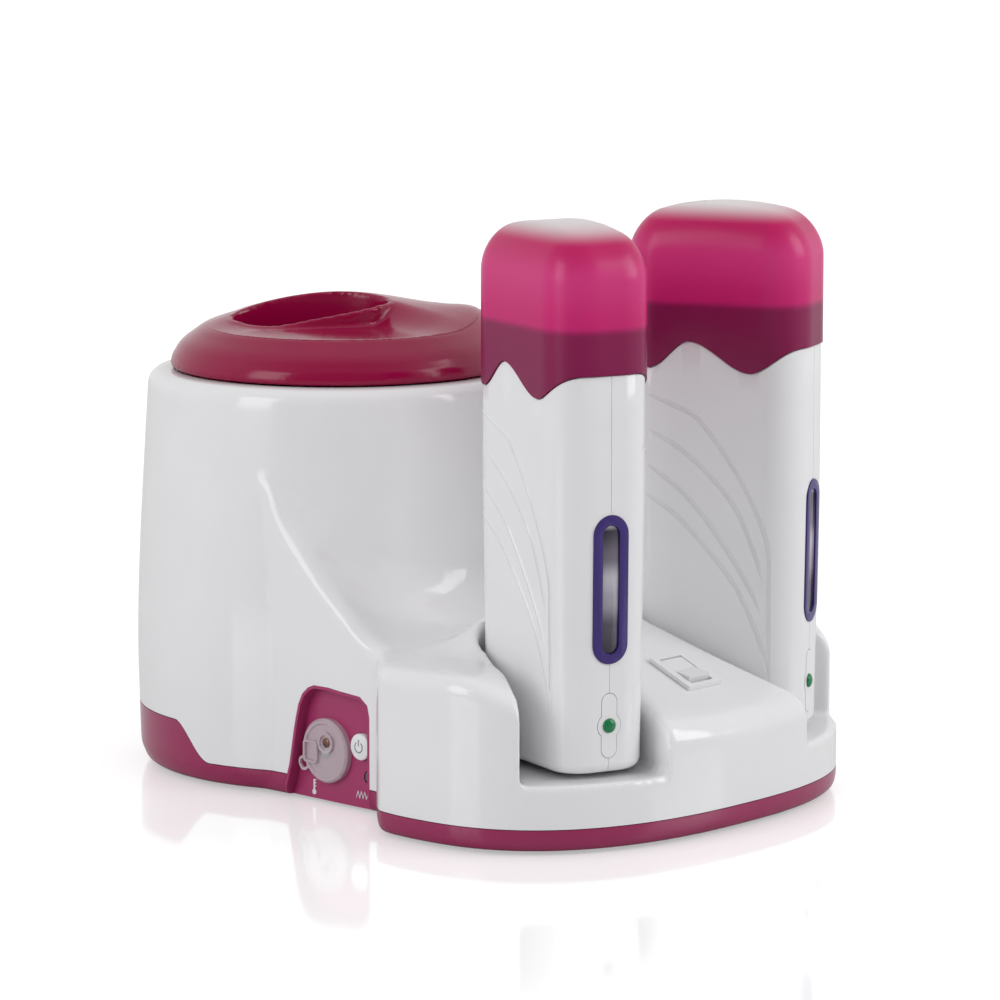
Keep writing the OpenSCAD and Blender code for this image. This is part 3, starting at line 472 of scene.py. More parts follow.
housing = {
    "potProfile": [(0, 81.6), (11, 82.0), (26, 82.4), (44, 82.8), (64, 82.6), (94, 81.4), (128, 79.4),
                   (152, 77.9), (175, 76.5)],
    "rim": 160, "rimRound": 6,
    "dockHalf": (105, 73.2), "dockPower": 2.46, "dockReach": 210,
    "neckHalf": 75.6, "neckGrow": 0.035, "neckBack": -20, "neckFront": -76,
    "notchY": -117, "notchSlope": 1.14, "notchRound": 4,
    "deckSlope": 24.2, "deckAtRocker": 56.3, "rockerY": -179.4,
    "fillet": 18, "edge": 6,
    "seamLow": 9.8, "seamHigh": 25, "seamFoot": -4, "seamRun": 20,
    "voxel": 1.35, "passes": 6,
    "wall": 2.4,
    "footRound": ((4.6, 0.9), (1.8, 2.6)),                       # drawn in, height
    "dockFoot": ((2.4, 0.9), (0.6, 2.7), (0, 6.2), (0, 150)),    # drawn in, height
    "deckMiddle": 40, "deckRun": 35, "filletAt": 90,
    "grid": (150, 140), "gridHalf": 108, "gridFront": -214, "gridFloor": -8,
    "roomFloor": 3.4, "roomTop": 7.4, "roomVoxels": (2.5, 2.0),
    "step": (67.5, 5), "bore": 61.5, "boreFoot": 100, "above": 200,
    "slotGap": 1.6, "slotFloor": 26, "flare": 0.274, "flareStart": 19, "slotReach": 90,
    "slotEdge": (6, 2.5), "slotEdgeFrom": 25, "slotEdgeRun": 15,
}
handset = {
    "width": 72.4, "thick": 41.3, "corner": 14.7, "foot": 28.1, "taper": 1.5, "full": 130,
    "wall": 2.2, "collarIn": 1.8, "collarTop": 195.5,
    "x": 48.7, "y": -159.5,
}


def potRadius(z):
    return curveAt(housing["potProfile"], z)


def potForm():
    top, edge = housing["rim"], housing["rimRound"]
    crown = potRadius(top - edge) - edge
    foot = [(potRadius(0) - inset, z) for inset, z in housing["footRound"]]
    wall = [(potRadius(z), z) for z in range(8, int(top - edge), 6)]
    rim = arcPoints(crown, top - edge, edge, 0, 90, 8)
    return turned([(0, foot[0][1])] + foot + wall + rim + [(0, top)], 256)


dockY = housing["dockHalf"][1] - housing["dockReach"]


def dockHalf(y):
    a, b = housing["dockHalf"]
    u = min(1, abs(y - dockY) / b)
    return a * (1 - u ** housing["dockPower"]) ** (1 / housing["dockPower"])


def halfWidth(y):
    neck = housing["neckHalf"] + housing["neckGrow"] * (-32 - y)
    start, soft = housing["notchY"], housing["notchRound"]
    past = max(0, y - start)
    drop = housing["notchSlope"] * (past - soft * (1 - math.exp(-past / soft)))
    return max(neck, min(dockHalf(y), dockHalf(start) - drop)) if past else dockHalf(y)


def dockOutline(shrink=0):
    # from the neck round the dock and back, the same number of points for any shrink
    b = housing["dockHalf"][1]
    back = housing["neckBack"]
    front = housing["neckFront"]
    start = -math.degrees(math.asin((front - dockY) / b))
    rows = [mix(back, front, i / 12) for i in range(12)]
    rows += [dockY - b * math.sin(math.radians(mix(start, 90, i / 80))) for i in range(81)]
    right = [(halfWidth(y) - shrink, y) for y in rows[:-1]]
    shift = [(x, dockY + (y - dockY) * (1 - shrink / b) if y < dockY else y) for x, y in right]
    tip = (0, rows[-1] + shrink)
    return shift + [tip] + [(-x, y) for x, y in reversed(shift)]


def dockShape():
    return lofted([[(x, y, z) for x, y in dockOutline(inset)] for inset, z in housing["dockFoot"]])


def slotOutline(side):
    # the handset's own back, then walls that open towards the front and outside
    s = sides[side]
    half = handset["thick"] / 2 + housing["slotGap"]
    back = handset["width"] / 2 + housing["slotGap"]
    radius = handset["corner"] + housing["slotGap"]
    reach = housing["slotReach"]
    spread = housing["flare"] * (housing["flareStart"] + reach)
    outline = arcPoints(half - radius, back - radius, radius, 0, 90, 12)
    outline += arcPoints(radius - half, back - radius, radius, 90, 180, 12)
    if s < 0:
        outline += [(-half, housing["flareStart"]), (-half - spread, -reach), (half, -reach)]
    else:
        outline += [(-half, -reach), (half + spread, -reach), (half, housing["flareStart"])]
    spot = Matrix.Translation((s * handset["x"], handset["y"], 0))
    turn = spot @ Matrix.Rotation(s * fan, 4, "Z")
    return [tuple((turn @ Vector((x, y, 0))).xy) for x, y in outline]


def gapTo(outline, x, y):
    # distance from a point to an outline, negative inside it
    best = 1e9
    inside = False
    for (x0, y0), (x1, y1) in zip(outline, outline[1:] + outline[:1]):
        dx, dy = x1 - x0, y1 - y0
        t = min(1, max(0, ((x - x0) * dx + (y - y0) * dy) / (dx * dx + dy * dy)))
        best = min(best, math.hypot(x - x0 - t * dx, y - y0 - t * dy))
        if (y0 > y) != (y1 > y) and x < x0 + dx * (y - y0) / dy:
            inside = not inside
    return -best if inside else best


def deckPlane(y):
    slope = math.tan(math.radians(housing["deckSlope"]))
    return housing["deckAtRocker"] + (y - housing["rockerY"]) * slope


# height of the deck from front to rear, along the middle and along the outer sides
deckMiddle = [(-215, deckPlane(-215)), (-133, deckPlane(-133)), (-124, 82), (-116, 76.5), (-106, 69),
              (-95, 67.5), (-82, 72), (-20, 90)]
deckSide = [(-215, deckPlane(-215)), (-162, deckPlane(-162) + 0.2), (-150, 66), (-105, 66), (-90, 66.6),
            (-82, 70), (-72, 78), (-51, 94), (-32, 106), (-20, 121)]
slotOutlines = [slotOutline(side) for side in sides]


def deckHeight(x, y, outline):
    outer = ease((abs(x) - housing["deckMiddle"]) / housing["deckRun"])
    height = mix(curveAt(deckMiddle, y), curveAt(deckSide, y), outer)
    reach = math.hypot(x, y) - potRadius(housing["filletAt"])
    height += roundDrop(reach, housing["fillet"])
    height -= roundDrop(-gapTo(outline, x, y), housing["edge"])
    for slot in slotOutlines:
        gap = gapTo(slot, x, y)
        outer = ease((abs(x) - housing["slotEdgeFrom"]) / housing["slotEdgeRun"])
        radius = mix(*housing["slotEdge"], outer)
        if gap < radius:
            height -= roundDrop(gap, radius)
    return height


def dockForm():
    bm = bmesh.new()
    across, along = housing["grid"]
    bmesh.ops.create_grid(bm, x_segments=across, y_segments=along, size=1)
    top = bmesh.ops.extrude_face_region(bm, geom=bm.faces[:])
    outline = dockOutline()
    raised = set(newVerts(top))
    for vert in bm.verts:
        x = vert.co.x * housing["gridHalf"]
        y = mix(housing["gridFront"], housing["neckBack"] - 1, (vert.co.y + 1) / 2)
        height = deckHeight(x, y, outline) if vert in raised else housing["gridFloor"]
        vert.co = (x, y, height)
    return keep(closedSolid(bm), dockShape())


def clay():
    # the whole form in one skin with its slots, before the sharp cuts
    form = join(potForm(), dockForm())
    for slot in slotOutlines:
        cut(form, prism(slot, housing["slotFloor"], housing["above"]))
    return soften(form, housing["voxel"], housing["passes"])


panel = {
    "outline": [(25.5, -5), (25.5, 38), (24.4, 42.6), (20.3, 45.6), (10.2, 46.3), (3, 47),
                (-4.8, 46.9), (-8.2, 45.5), (-11.2, 42.8), (-13.4, 38.5), (-14.9, 33), (-16.2, 27),
                (-17.3, 21), (-18.6, 14), (-20.3, 8.5), (-22.8, 2), (-22.8, -5)],
    "plate": 2.2, "rim": 1.25, "gap": 0.12, "seat": 0.2, "middle": 0.8,
    "holes": {"dial": 3.4, "button": 5.5, "lamp": 2.65},
    "dial": (-0.8, 21.2), "button": (18.3, 25.3), "lamp": (21.4, 13.4),
}


def archOutline(grow=0):
    return offsetOutline(panel["outline"], grow)


def panelOrigin():
    # the panel's foot below its middle, with x along it, y into the housing and z up
    place = panelFrame()
    spot = potFrame.inverted() @ place
    spot.translation.z = 0
    return spot @ Matrix.Translation((panel["middle"], 0, 0))


def upright(outline, near, far, place):
    # prism of an outline drawn in x and z, from one depth to another
    return prism(outline, -far, -near, place @ outwards)


def archTool(grow, near, far):
    return upright(archOutline(grow), near, far, panelOrigin())


def seamTool(drop=0):
    # everything under the joint between tub and housing
    low, high = housing["seamLow"] - drop, housing["seamHigh"] - drop
    foot, run = housing["seamFoot"], housing["seamRun"]
    step = [(foot + run * i / 16, mix(low, high, ease(i / 16))) for i in range(17)]
    side = Matrix(((0, 0, 1, 0), (1, 0, 0, 0), (0, 1, 0, 0), (0, 0, 0, 1)))
    return prism([(-300, -20), (-300, low)] + step + [(300, high), (300, -20)], -200, 200, side)


openings = {
    "socket": (10.1, 17.1), "socketZ": (15, 35), "rockerHole": (7.6, 9.1), "rockerDepth": 20,
    "inlet": (11.1, 7.1), "inletZ": 40, "inletDepth": 15, "below": -5, "ventTop": 9,
    "feet": ((48, 46), (84, -146), (46, -190)), "footRadius": 6, "footDepth": 1.8,
    "screwTurns": (20, 160), "screwInset": 13, "screwRadius": 3.3, "screwDepth": 5,
    "vents": range(200, 341, 20), "ventSpot": (40, 6), "ventHalf": (6, 1.5),
}


def cavityOf(form):
    # the form drawn in by its wall, as the room inside the mouldings
    room = twin(form)
    for voxel, push in zip(housing["roomVoxels"], (-housing["wall"], 0)):
        addRemesh(room, voxel)
        if push:
            draw = room.modifiers.new("draw", "DISPLACE")
            draw.strength = push
            draw.mid_level = 0
        bake(room)
    top = housing["rim"] - housing["roomTop"]
    return keep(room, box((-300, -300, housing["roomFloor"]), (300, 300, top)))


def screwSpotsBelow():
    inset = openings["screwInset"]
    a, b = housing["dockHalf"]
    reach = potRadius(44) - inset
    spots = [(reach * math.cos(math.radians(t)), reach * math.sin(math.radians(t)))
             for t in openings["screwTurns"]]
    return spots + [((a - inset) * x, dockY + (b - inset) * y) for x, y in ((-1, 0), (0, -1), (1, 0))]


def cutShell(form):
    # the sharp openings of the white moulding
    step, depth = housing["step"]
    bore, foot, above = housing["bore"], housing["boreFoot"], housing["above"]
    ledge = housing["rim"] - depth
    cut(form, turned([(0, foot), (bore, foot), (bore, ledge), (step, ledge), (step, above), (0, above)], 192))
    low, high = openings["socketZ"]
    for side in sides:
        place = potFrame.inverted() @ handsetFrame(side)
        x, y = openings["socket"]
        cut(form, box((-x, -y, low), (x, y, high), place))
    x, y = openings["rockerHole"]
    z = openings["rockerDepth"]
    cut(form, box((-x, -y, -z), (x, y, z), potFrame.inverted() @ rockerFrame()))
    x, z = openings["inlet"]
    middle = openings["inletZ"]
    cut(form, box((-x, potRadius(middle) - openings["inletDepth"], middle - z), (x, 100, middle + z)))


def cutTub(form):
    # seats of the feet, heads of the screws, then the vents
    below = openings["below"]
    feet = [(s * x, y) for x, y in openings["feet"] for s in (-1, 1)]
    for spots, size in ((feet, "foot"), (screwSpotsBelow(), "screw")):
        for x, y in spots:
            radius, top = openings[size + "Radius"], openings[size + "Depth"]
            cut(form, cylinder(radius, below, top, Matrix.Translation((x, y, 0))))
    half, radius = openings["ventHalf"]
    for turn in openings["vents"]:
        reach, shift = openings["ventSpot"]
        x = reach * math.cos(math.radians(turn))
        y = reach * math.sin(math.radians(turn)) + shift
        slot = arcPoints(half, 0, radius, -90, 90, 10) + arcPoints(-half, 0, radius, 90, 270, 10)
        cut(form, prism([(x + dx, y + dy) for dx, dy in slot], below, openings["ventTop"]))


wholeForm = clay()
print("whole form", len(wholeForm.data.polygons))
room = cavityOf(wholeForm)
trayBack = panel["plate"] + panel["seat"]
tray = keep(upright(archOutline(-panel["gap"]), -9, panel["plate"], panelOrigin()), twin(wholeForm))
cut(tray, upright(archOutline(-panel["rim"]), -30, 0, panelOrigin()))
tub = cut(keep(twin(wholeForm), seamTool(0.3)), twin(room), archTool(0, -30, trayBack))
cutTub(tub)
shell = cut(wholeForm, seamTool(), room, archTool(0, -30, trayBack))
cutShell(shell)
for obj, name, colour, slot, node in ((shell, "housing", glossWhite, "white_abs", "top_shell"),
                                      (tub, "baseTub", glossMagenta, "magenta_abs", "base_tub")):
    obj.data.transform(potFrame)
    finishPiece(obj, name, "base", colour, [node])
print("housing", len(shell.data.polygons), "tub", len(tub.data.polygons))


# control panel: a magenta tray in the side of the housing, with its dial, button and lamp

def panelSpot(name):
    # on the panel's face: x along it, y up, z out of the housing
    x, z = panel[name]
    return potFrame @ panelOrigin() @ Matrix.Translation((x, 0, z)) @ outwards


dialLook = {
    "radius": 12.7, "back": -0.6, "front": 3.0, "bore": 3.1,
    "lug": (-7.2, -1.0), "lugHalf": (3.9, 4.4), "boss": (1.2, 3.4), "bossRadius": 4.2, "pinRadius": 1.9,
    "pointer": (10.5, 16.2), "pointerHalf": 2.9, "pointerAngle": 208, "pointerAt": (1.7, 2.8),
}
buttonLook = {
    "radius": 5.25, "front": 2.0, "dome": 0.5, "collar": 6.25, "stem": 2.0, "end": -8.6,
    "ring": (2.3, 1.8), "ringGap": (125, 415), "bar": (0.27, 0.4, 2.9), "markRaise": 0.52,
}
marksLook = {
    "raise": 0.25, "thermometer": (-9.4, 3.4), "bulb": 1.1, "tube": (0.45, 5),
    "ticks": (2.2, 3.4, 4.6), "wave": (14.6, 4.4), "waveStep": (0.95, 2.6), "waveLine": 0.75,
}


def roundedBox(halfX, halfY, radius, cx=0, cy=0):
    x, y = halfX - radius, halfY - radius
    outline = []
    for sx, sy, start in ((1, 1, 0), (-1, 1, 90), (-1, -1, 180), (1, -1, 270)):
        outline += arcPoints(cx + sx * x, cy + sy * y, radius, start, start + 90, 8)
    return outline


def makeDial():
    place = panelSpot("dial")
    look = dialLook
    r, front = look["radius"], look["front"]
    dial = turned([(0, look["back"]), (r, look["back"]), (r, front - 0.8), (r - 0.8, front),
                   (r - 2.0, front), (r - 2.4, front - 0.5), (0, front - 0.5)], 128)
    (x, y), (halfX, halfY) = look["lug"], look["lugHalf"]
    lug = prism(roundedBox(halfX, halfY, 1.6, x, y), front - 1, front + 0.9)
    cut(lug, prism(roundedBox(halfX - 0.9, halfY - 0.9, 1.0, x, y), front - 0.3, front + 3))
    x, y = look["boss"]
    spot = Matrix.Translation((x, y, 0))
    boss = cylinder(look["bossRadius"], front - 1, front + 0.7, spot)
    cut(boss, cylinder(look["bossRadius"] - 1.1, front - 0.2, front + 3, spot))
    near, far = look["pointer"]
    middle, half = (near + far) / 2, (far - near) / 2
    turn = Matrix.Rotation(math.radians(look["pointerAngle"]), 4, "Z")
    low, high = look["pointerAt"]
    wide = look["pointerHalf"]
    loop = prism(roundedBox(half, wide, 2.4, middle), low, high, turn)
    cut(loop, prism(roundedBox(half - 1.0, wide - 1.0, 1.5, middle + 0.2), low - 2, high + 2, turn))
    join(dial, loop, lug, boss)
    cut(dial, cylinder(look["bore"], -3, 1.6))
    bevelled(dial, 0.18, 2)
    dial.data.transform(place)
    finishPiece(dial, "thermostatDial", "dial", frostedClear, ["thermostat_dial"], 40)
    r = look["pinRadius"]
    pin = turned([(0, front - 0.6), (r, front - 0.6), (r, front + 0.1), (r - 0.4, front + 0.4),
                  (0, front + 0.4)], 48, place @ spot)
    finishPiece(pin, "dialPin", "dial", copperPin, (), 40)


def makeButton():
    look = buttonLook
    r, front = look["radius"], look["front"]
    dome = look["dome"]
    cap = [(0, look["end"]), (look["stem"], look["end"]), (look["stem"], -3.4), (look["collar"], -3.4),
           (look["collar"], -2.4), (r, -2.4), (r, front - 0.6)]
    cap += [(r - 0.6 + 0.6 * math.cos(math.radians(a)), front - 0.6 + 0.6 * math.sin(math.radians(a)))
            for a in range(15, 91, 15)]
    cap += [(r * 0.6, front + dome * 0.7), (r * 0.3, front + dome * 0.95), (0, front + dome)]
    button = turned(cap, 96, panelSpot("button"))
    finishPiece(button, "powerButton", "button", glossWhite, ["power_button"], 40)
    (outer, inner), (start, stop) = look["ring"], look["ringGap"]
    ring = arcPoints(0, 0, outer, start, stop, 40) + arcPoints(0, 0, inner, start, stop, 40)[::-1]
    half, low, high = look["bar"]
    top = front + look["markRaise"]
    mark = prism(ring, front, top)
    join(mark, box((-half, low, front), (half, high, top)))
    mark.data.transform(panelSpot("button"))
    finishPiece(mark, "powerMark", "button", markGrey, (), 40)


def makeMarks():
    # thermometer under the dial and a heat wave under the lamp, raised a little
    place = potFrame @ panelOrigin() @ outwards
    look = marksLook
    top = look["raise"]
    (x, z), (half, height) = look["thermometer"], look["tube"]
    marks = cylinder(look["bulb"], 0, top, place @ Matrix.Translation((x, z, 0)), 32)
    join(marks, box((x - half, z, 0), (x + half, z + height, top), place))
    for up in look["ticks"]:
        join(marks, box((x, z + up, 0), (x + look["bulb"], z + up + half, top), place))
    (x, z), (across, rise) = look["wave"], look["waveStep"]
    zigzag = [(x + i * across, z + (i % 2) * rise) for i in range(8)]
    back = [(a, b + look["waveLine"]) for a, b in reversed(zigzag)]
    join(marks, prism(zigzag + back, 0, top, place))
    finishPiece(marks, "panelMarks", "base", markWhite, ["panel_icons"], 40)


tray.data.transform(potFrame)
for name, radius in panel["holes"].items():
    cut(tray, cylinder(radius, -20, 5, panelSpot(name)))
finishPiece(tray, "controlPanel", "base", panelMagenta, ["control_panel"], 35)
makeDial()
makeButton()
makeMarks()
print("panel")


# lid: a translucent dome with a lowered shelf and a finger recess in front of its top

lid = {
    "turn": -49, "foot": 160.3, "rim": 68.8, "wall": 2.2, "floor": 166.5,
    "dome": [(0, 189.4), (10, 189.0), (20, 187.6), (30, 185.5), (40, 182.7), (45, 180.9), (50, 179.3),
             (55.5, 177.1), (59.5, 174.3), (64.4, 170.5), (67.8, 165.5), (68.8, 161.8)],
    "crease": 55.5, "shelfRise": 0.035, "creaseFrom": -168, "creaseTo": 5,
    "swell": (57, 12), "swellSize": (12, 20), "swellHeight": 5.5,
    "recessAt": (-12, -8), "recessHalf": (31, 17),
    "lip": [(-43, 179.8), (-36, 178.8), (-27, 178.9), (-19, 180.1), (-9, 182.1), (11, 185.4), (19, 186.6)],
    "voxel": 0.95, "passes": 3,
}


def lidHeight(x, y, flat=True):
    # x runs to the right across the front of the lid, y to the rear
    r = math.hypot(x, y)
    z = curveAt(lid["dome"], r)
    (sx, sy), (wx, wy) = lid["swell"], lid["swellSize"]
    swell = math.exp(-((x - sx) / wx) ** 2 / 2 - ((y - sy) / wy) ** 2 / 2)
    z += lid["swellHeight"] * swell * ease((lid["rim"] - 0.5 - r) / 9)
    if flat and r < lid["crease"]:
        turn = math.degrees(math.atan2(y, x))
        front = ease((-18 - turn) / 42) * ease((turn + 178) / 40)
        z = mix(z, curveAt(lid["dome"], lid["crease"]) + lid["shelfRise"] * (lid["crease"] - r), front)
    return z


def lipHeight(x, y):
    (cx, cy), (halfX, halfY) = lid["recessAt"], lid["recessHalf"]
    near = curveAt(lid["lip"], x)
    return mix(near, max(near, lidHeight(x, y, False)), ease((y - cy + halfY) / halfY / 1.5))


def lidForm(inset):
    profile = [(r - inset, z - inset) for r, z in reversed(lid["dome"])]
    rings = [profile[0]]
    for (r0, z0), (r1, z1) in zip(profile, profile[1:]):
        steps = max(1, round(abs(r1 - r0) / 1.2))
        rings += [(max(mix(r0, r1, i / steps), 0), mix(z0, z1, i / steps)) for i in range(1, steps + 1)]
    rings[-1] = (0, rings[-1][1])
    form = turned([(0, lid["foot"] - inset), (rings[0][0] - 1.5, lid["foot"] - inset)] + rings, 224)
    for vert in form.data.vertices:
        x, y, z = vert.co
        r = math.hypot(x, y)
        if z > lid["foot"] + 1 - inset and r < 66:
            vert.co.z = lidHeight(x, y) - inset
    return form


def recessOutline(grow):
    (cx, cy), (halfX, halfY) = lid["recessAt"], lid["recessHalf"]
    turns = [math.radians(i * 3) for i in range(120)]
    return [(cx + (halfX + grow) * math.cos(a), cy + (halfY + grow) * math.sin(a)) for a in turns]


def makeLid():
    wall = lid["wall"]
    form = lidForm(0)
    lip = surfaceBlock((-50, -32), (30, 18), 165, 110, lipHeight)
    join(form, keep(lip, prism(recessOutline(wall), 160, 200)))
    hollow = lidForm(wall)
    cut(hollow, prism(recessOutline(wall), lid["floor"] - wall, 220))
    cut(form, hollow, prism(recessOutline(0), lid["floor"], 220))
    soften(form, lid["voxel"], lid["passes"])
    radius, start, stop = lid["crease"], lid["creaseFrom"], lid["creaseTo"]
    path = []
    for i in range(121):
        turn = math.radians(mix(start, stop, i / 120))
        x, y = radius * math.cos(turn), radius * math.sin(turn)
        path.append((x, y, lidHeight(x, y), 0.06 + 0.4 * ease(min(i, 120 - i) / 20)))
    cut(form, wireTool(path))
    form.data.transform(potFrame @ Matrix.Rotation(math.radians(lid["turn"]), 4, "Z"))
    finishPiece(form, "lid", "lid", lidRed, ["lid"], 60)
    return form


print("lid", len(makeLid().data.polygons))


# handsets: two half shells with a collar, window, lamp plate and wave grooves, and a clear cap

capLook = {
    "wave": [(-60, 178.6), (-36, 178.6), (-17, 169), (8, 180.5), (24.5, 169.5), (38, 178.5), (60, 178.5)],
    "top": 233, "round": 13.5, "stretch": 1.5, "crown": 0.0046, "wall": 2, "proud": 0.7,
    "shoulder": 205, "vents": ((0, 9), (0, 15)),
}
windowLook = {"z": 98, "width": 14.7, "length": 56.2, "border": 3.75, "proud": 0.5}
lampLook = {"z": 46.4, "radius": 2.7, "width": 6.4, "length": 24.5, "bulge": 4.85}
grooveSize = 0.85
grooves = [
    [(-27, 159.8), (-14, 155), (-3, 149), (13.4, 127), (23.8, 104), (24.7, 84), (24.7, 60), (24.7, 41)],
    [(-27, 146.6), (-9, 136.5), (9.4, 118.7), (19, 99), (22.6, 86)],
    [(-27.5, 133.4), (-9, 120), (5.4, 102.8), (17, 85), (22.4, 73)],
    [(-27.5, 121), (-15, 113.5), (-2.8, 102), (12, 84), (22, 62), (24.4, 50)],
]


def taperAt(z):
    full = handset["full"]
    return 0 if z > full else handset["taper"] * (full - z) / (full - handset["foot"])


def waveAt(y):
    wave = capLook["wave"]
    i = next(k for k in range(len(wave) - 1) if y <= wave[k + 1][0])
    return mix(wave[i][1], wave[i + 1][1], ease((y - wave[i][0]) / (wave[i + 1][0] - wave[i][0])))


def sectionRing(inset, height, squash=1):
    # rounded rectangle with its long sides along y; height is a number or a function of y
    half = handset["thick"] / 2 - inset
    deep = handset["width"] / 2 - inset
    radius = max(handset["corner"] - inset, 0.4)
    ring = []
    # each corner, then the straight run to where the next one starts
    corners = ((1, 1, 0, 8, (radius - half, deep)), (-1, 1, 90, 30, (-half, radius - deep)),
               (-1, -1, 180, 8, (half - radius, -deep)), (1, -1, 270, 30, (half, deep - radius)))
    for sx, sy, start, steps, (x1, y1) in corners:
        ring += arcPoints(sx * (half - radius), sy * (deep - radius), radius, start, start + 90, 10)
        x0, y0 = ring[-1]
        ring += [(mix(x0, x1, i / steps), mix(y0, y1, i / steps)) for i in range(1, steps)]
    level = height if callable(height) else (lambda y: height)
    return [(x * squash, y * squash, level(y * squash)) for x, y in ring]


def faceX(y, z):
    # how far the wide face lies from the middle plane
    corner = handset["corner"]
    over = max(0, abs(y) - (handset["width"] / 2 - corner))
    return handset["thick"] / 2 - taperAt(z) - corner + math.sqrt(corner * corner - over * over)


def grooveTool(points, side, place):
    # a wave groove on a wide face, thinner towards its tips
    across = [(i, p[0]) for i, p in enumerate(points)]
    up = [(i, p[1]) for i, p in enumerate(points)]
    path = []
    for i in range(12 * (len(points) - 1) + 1):
        t = i / 12
        y, z = -curveAt(across, t), curveAt(up, t)
        fade = ease(min(t / 0.5, (len(points) - 1 - t) / 0.9))
        path.append((side * (faceX(y, z) + 0.15), y, z, 0.2 + grooveSize * fade))
    return wireTool(path, place)


def shellForm(place):
    foot, wall, step = handset["foot"], handset["wall"], handset["collarIn"]
    inner = step + wall
    edge = 4.2
    rings = []
    for i in range(9):
        a = math.radians(i * 90 / 8)
        z = foot + edge * (1 - math.cos(a))
        rings.append((taperAt(z) + edge * (1 - math.sin(a)), z))
    rings += [(taperAt(z), z) for z in (60, 95, 130, 160)]
    rings += [(0.02, lambda y: waveAt(y) - 0.75), (0.2, lambda y: waveAt(y) - 0.42),
              (0.55, lambda y: waveAt(y) - 0.3), (step, lambda y: waveAt(y) - 0.3)]
    rings += [(step, handset["collarTop"] - 0.8), (step + 0.25, handset["collarTop"] - 0.2),
              (step + 0.8, handset["collarTop"]), (inner - 0.3, handset["collarTop"]),
              (inner, handset["collarTop"] - 0.4), (inner, 166), (wall, 162), (wall, 130),
              (taperAt(36) + wall, 36), (taperAt(30) + wall + 2.6, foot + wall)]
    return lofted([sectionRing(*ring) for ring in rings], place)


def stadium(width, length):
    straight = (length - width) / 2
    return arcPoints(0, straight, width / 2, 0, 180, 20) + arcPoints(0, -straight, width / 2, 180, 360, 20)


def onFace(z):
    # on the narrow face at a height: x across, y into the handset, z up along the slanted face
    lean = math.atan(handset["taper"] / (handset["full"] - handset["foot"]))
    return (Matrix.Translation((0, taperAt(z) - handset["width"] / 2, z)) @ Matrix.Rotation(lean, 4, "X"))


screwSpots = ((20, 44), (30.4, 60), (30.4, 160), (-30.4, 150))


def makeShells(side, place):
    whole = shellForm(place)
    window = place @ onFace(windowLook["z"])
    lamp = place @ onFace(lampLook["z"])
    width, length = windowLook["width"], windowLook["length"]
    cut(whole, upright(stadium(width + 0.3, length + 0.3), -5, 8, window))
    cut(whole, upright(stadium(lampLook["width"] + 0.5, lampLook["length"] + 0.5), -5, 1.0, lamp),
        cylinder(lampLook["bulge"] + 0.25, -1.0, 5, lamp @ outwards),
        cylinder(lampLook["radius"] + 0.5, -9, 5, lamp @ outwards))
    for points in grooves:
        for face in (-1, 1):
            cut(whole, grooveTool(points, face, place))
    for y, z in screwSpots:
        cut(whole, cylinder(2.2, 8, 30, place @ Matrix.Translation((0, y, z)) @ sideways))
    cut(whole, box((-6.1, -12.1, 0), (6.1, 12.1, 42.6), place))
    line = 0.09
    inner, outer = twin(whole), whole
    keep(inner, box((line, -60, 0), (60, 60, 300), place))
    keep(outer, box((-60, -60, 0), (-line, 60, 300), place))
    names = ("shell_inner", "shell_outer") if side == "left" else ("shell_outer", "shell_inner")
    for obj, node in ((inner, names[0]), (outer, names[1])):
        finishPiece(obj, side + node.title().replace("_", ""), side + "_handset", glossWhite,
                    [side + "_" + node], 30)


def makeWindow(side, place):
    window = place @ onFace(windowLook["z"])
    width, length, border = windowLook["width"], windowLook["length"], windowLook["border"]
    trim = upright(stadium(width, length), -windowLook["proud"], 3, window)
    cut(trim, upright(stadium(width - 2 * border, length - 2 * border), -9, 9, window))
    bevelled(trim, 0.45, 3)
    finishPiece(trim, side + "WindowTrim", side + "_handset", glossPurple,
                [side + "_window_frame"], 50)
    pane = upright(stadium(width - 2 * border - 0.1, length - 2 * border - 0.1), 0.1, 2.4, window)
    bevelled(pane, 0.25, 2)
    finishPiece(pane, side + "WindowPane", side + "_handset", windowPaintedStreak,
                [side + "_window_lens"], 50)


def makeLamp(side, place):
    lamp = place @ onFace(lampLook["z"])
    radius, bulge = lampLook["radius"], lampLook["bulge"]
    plate = upright(stadium(lampLook["width"], lampLook["length"]), -0.1, 0.95, lamp)
    join(plate, cylinder(bulge, -0.95, 0.15, lamp @ outwards))
    cut(plate, cylinder(radius + 0.08, -9, 9, lamp @ outwards))
    bevelled(plate, 0.15, 2)
    finishPiece(plate, side + "LampPlate", side + "_handset", glossWhite,
                [side + "_led_plate"], 50)
    dome = [(0, -4), (radius, -4), (radius, 0.25)]
    dome += [(radius * math.cos(math.radians(a)), 0.25 + 1.25 * math.sin(math.radians(a)))
             for a in range(10, 90, 10)]
    lens = turned(dome + [(0, 1.5)], 64, lamp @ outwards)
    finishPiece(lens, side + "Lamp", side + "_handset", greenLens,
                [side + "_led_lens"], 50)


def capRings(inset):
    # the rounded edge of the top
    look = capLook
    radius, top = look["round"] - inset, look["top"] - inset
    rings = []
    for i in range(13):
        a = math.radians(i * 90 / 12)
        lift = math.sin(a)
        drop = look["stretch"] * radius * (1 - lift)
        rings.append((inset - look["proud"] + radius * (1 - math.cos(a)),
                      lambda y, lift=lift, drop=drop: top - drop - look["crown"] * y * y * lift))
    return rings


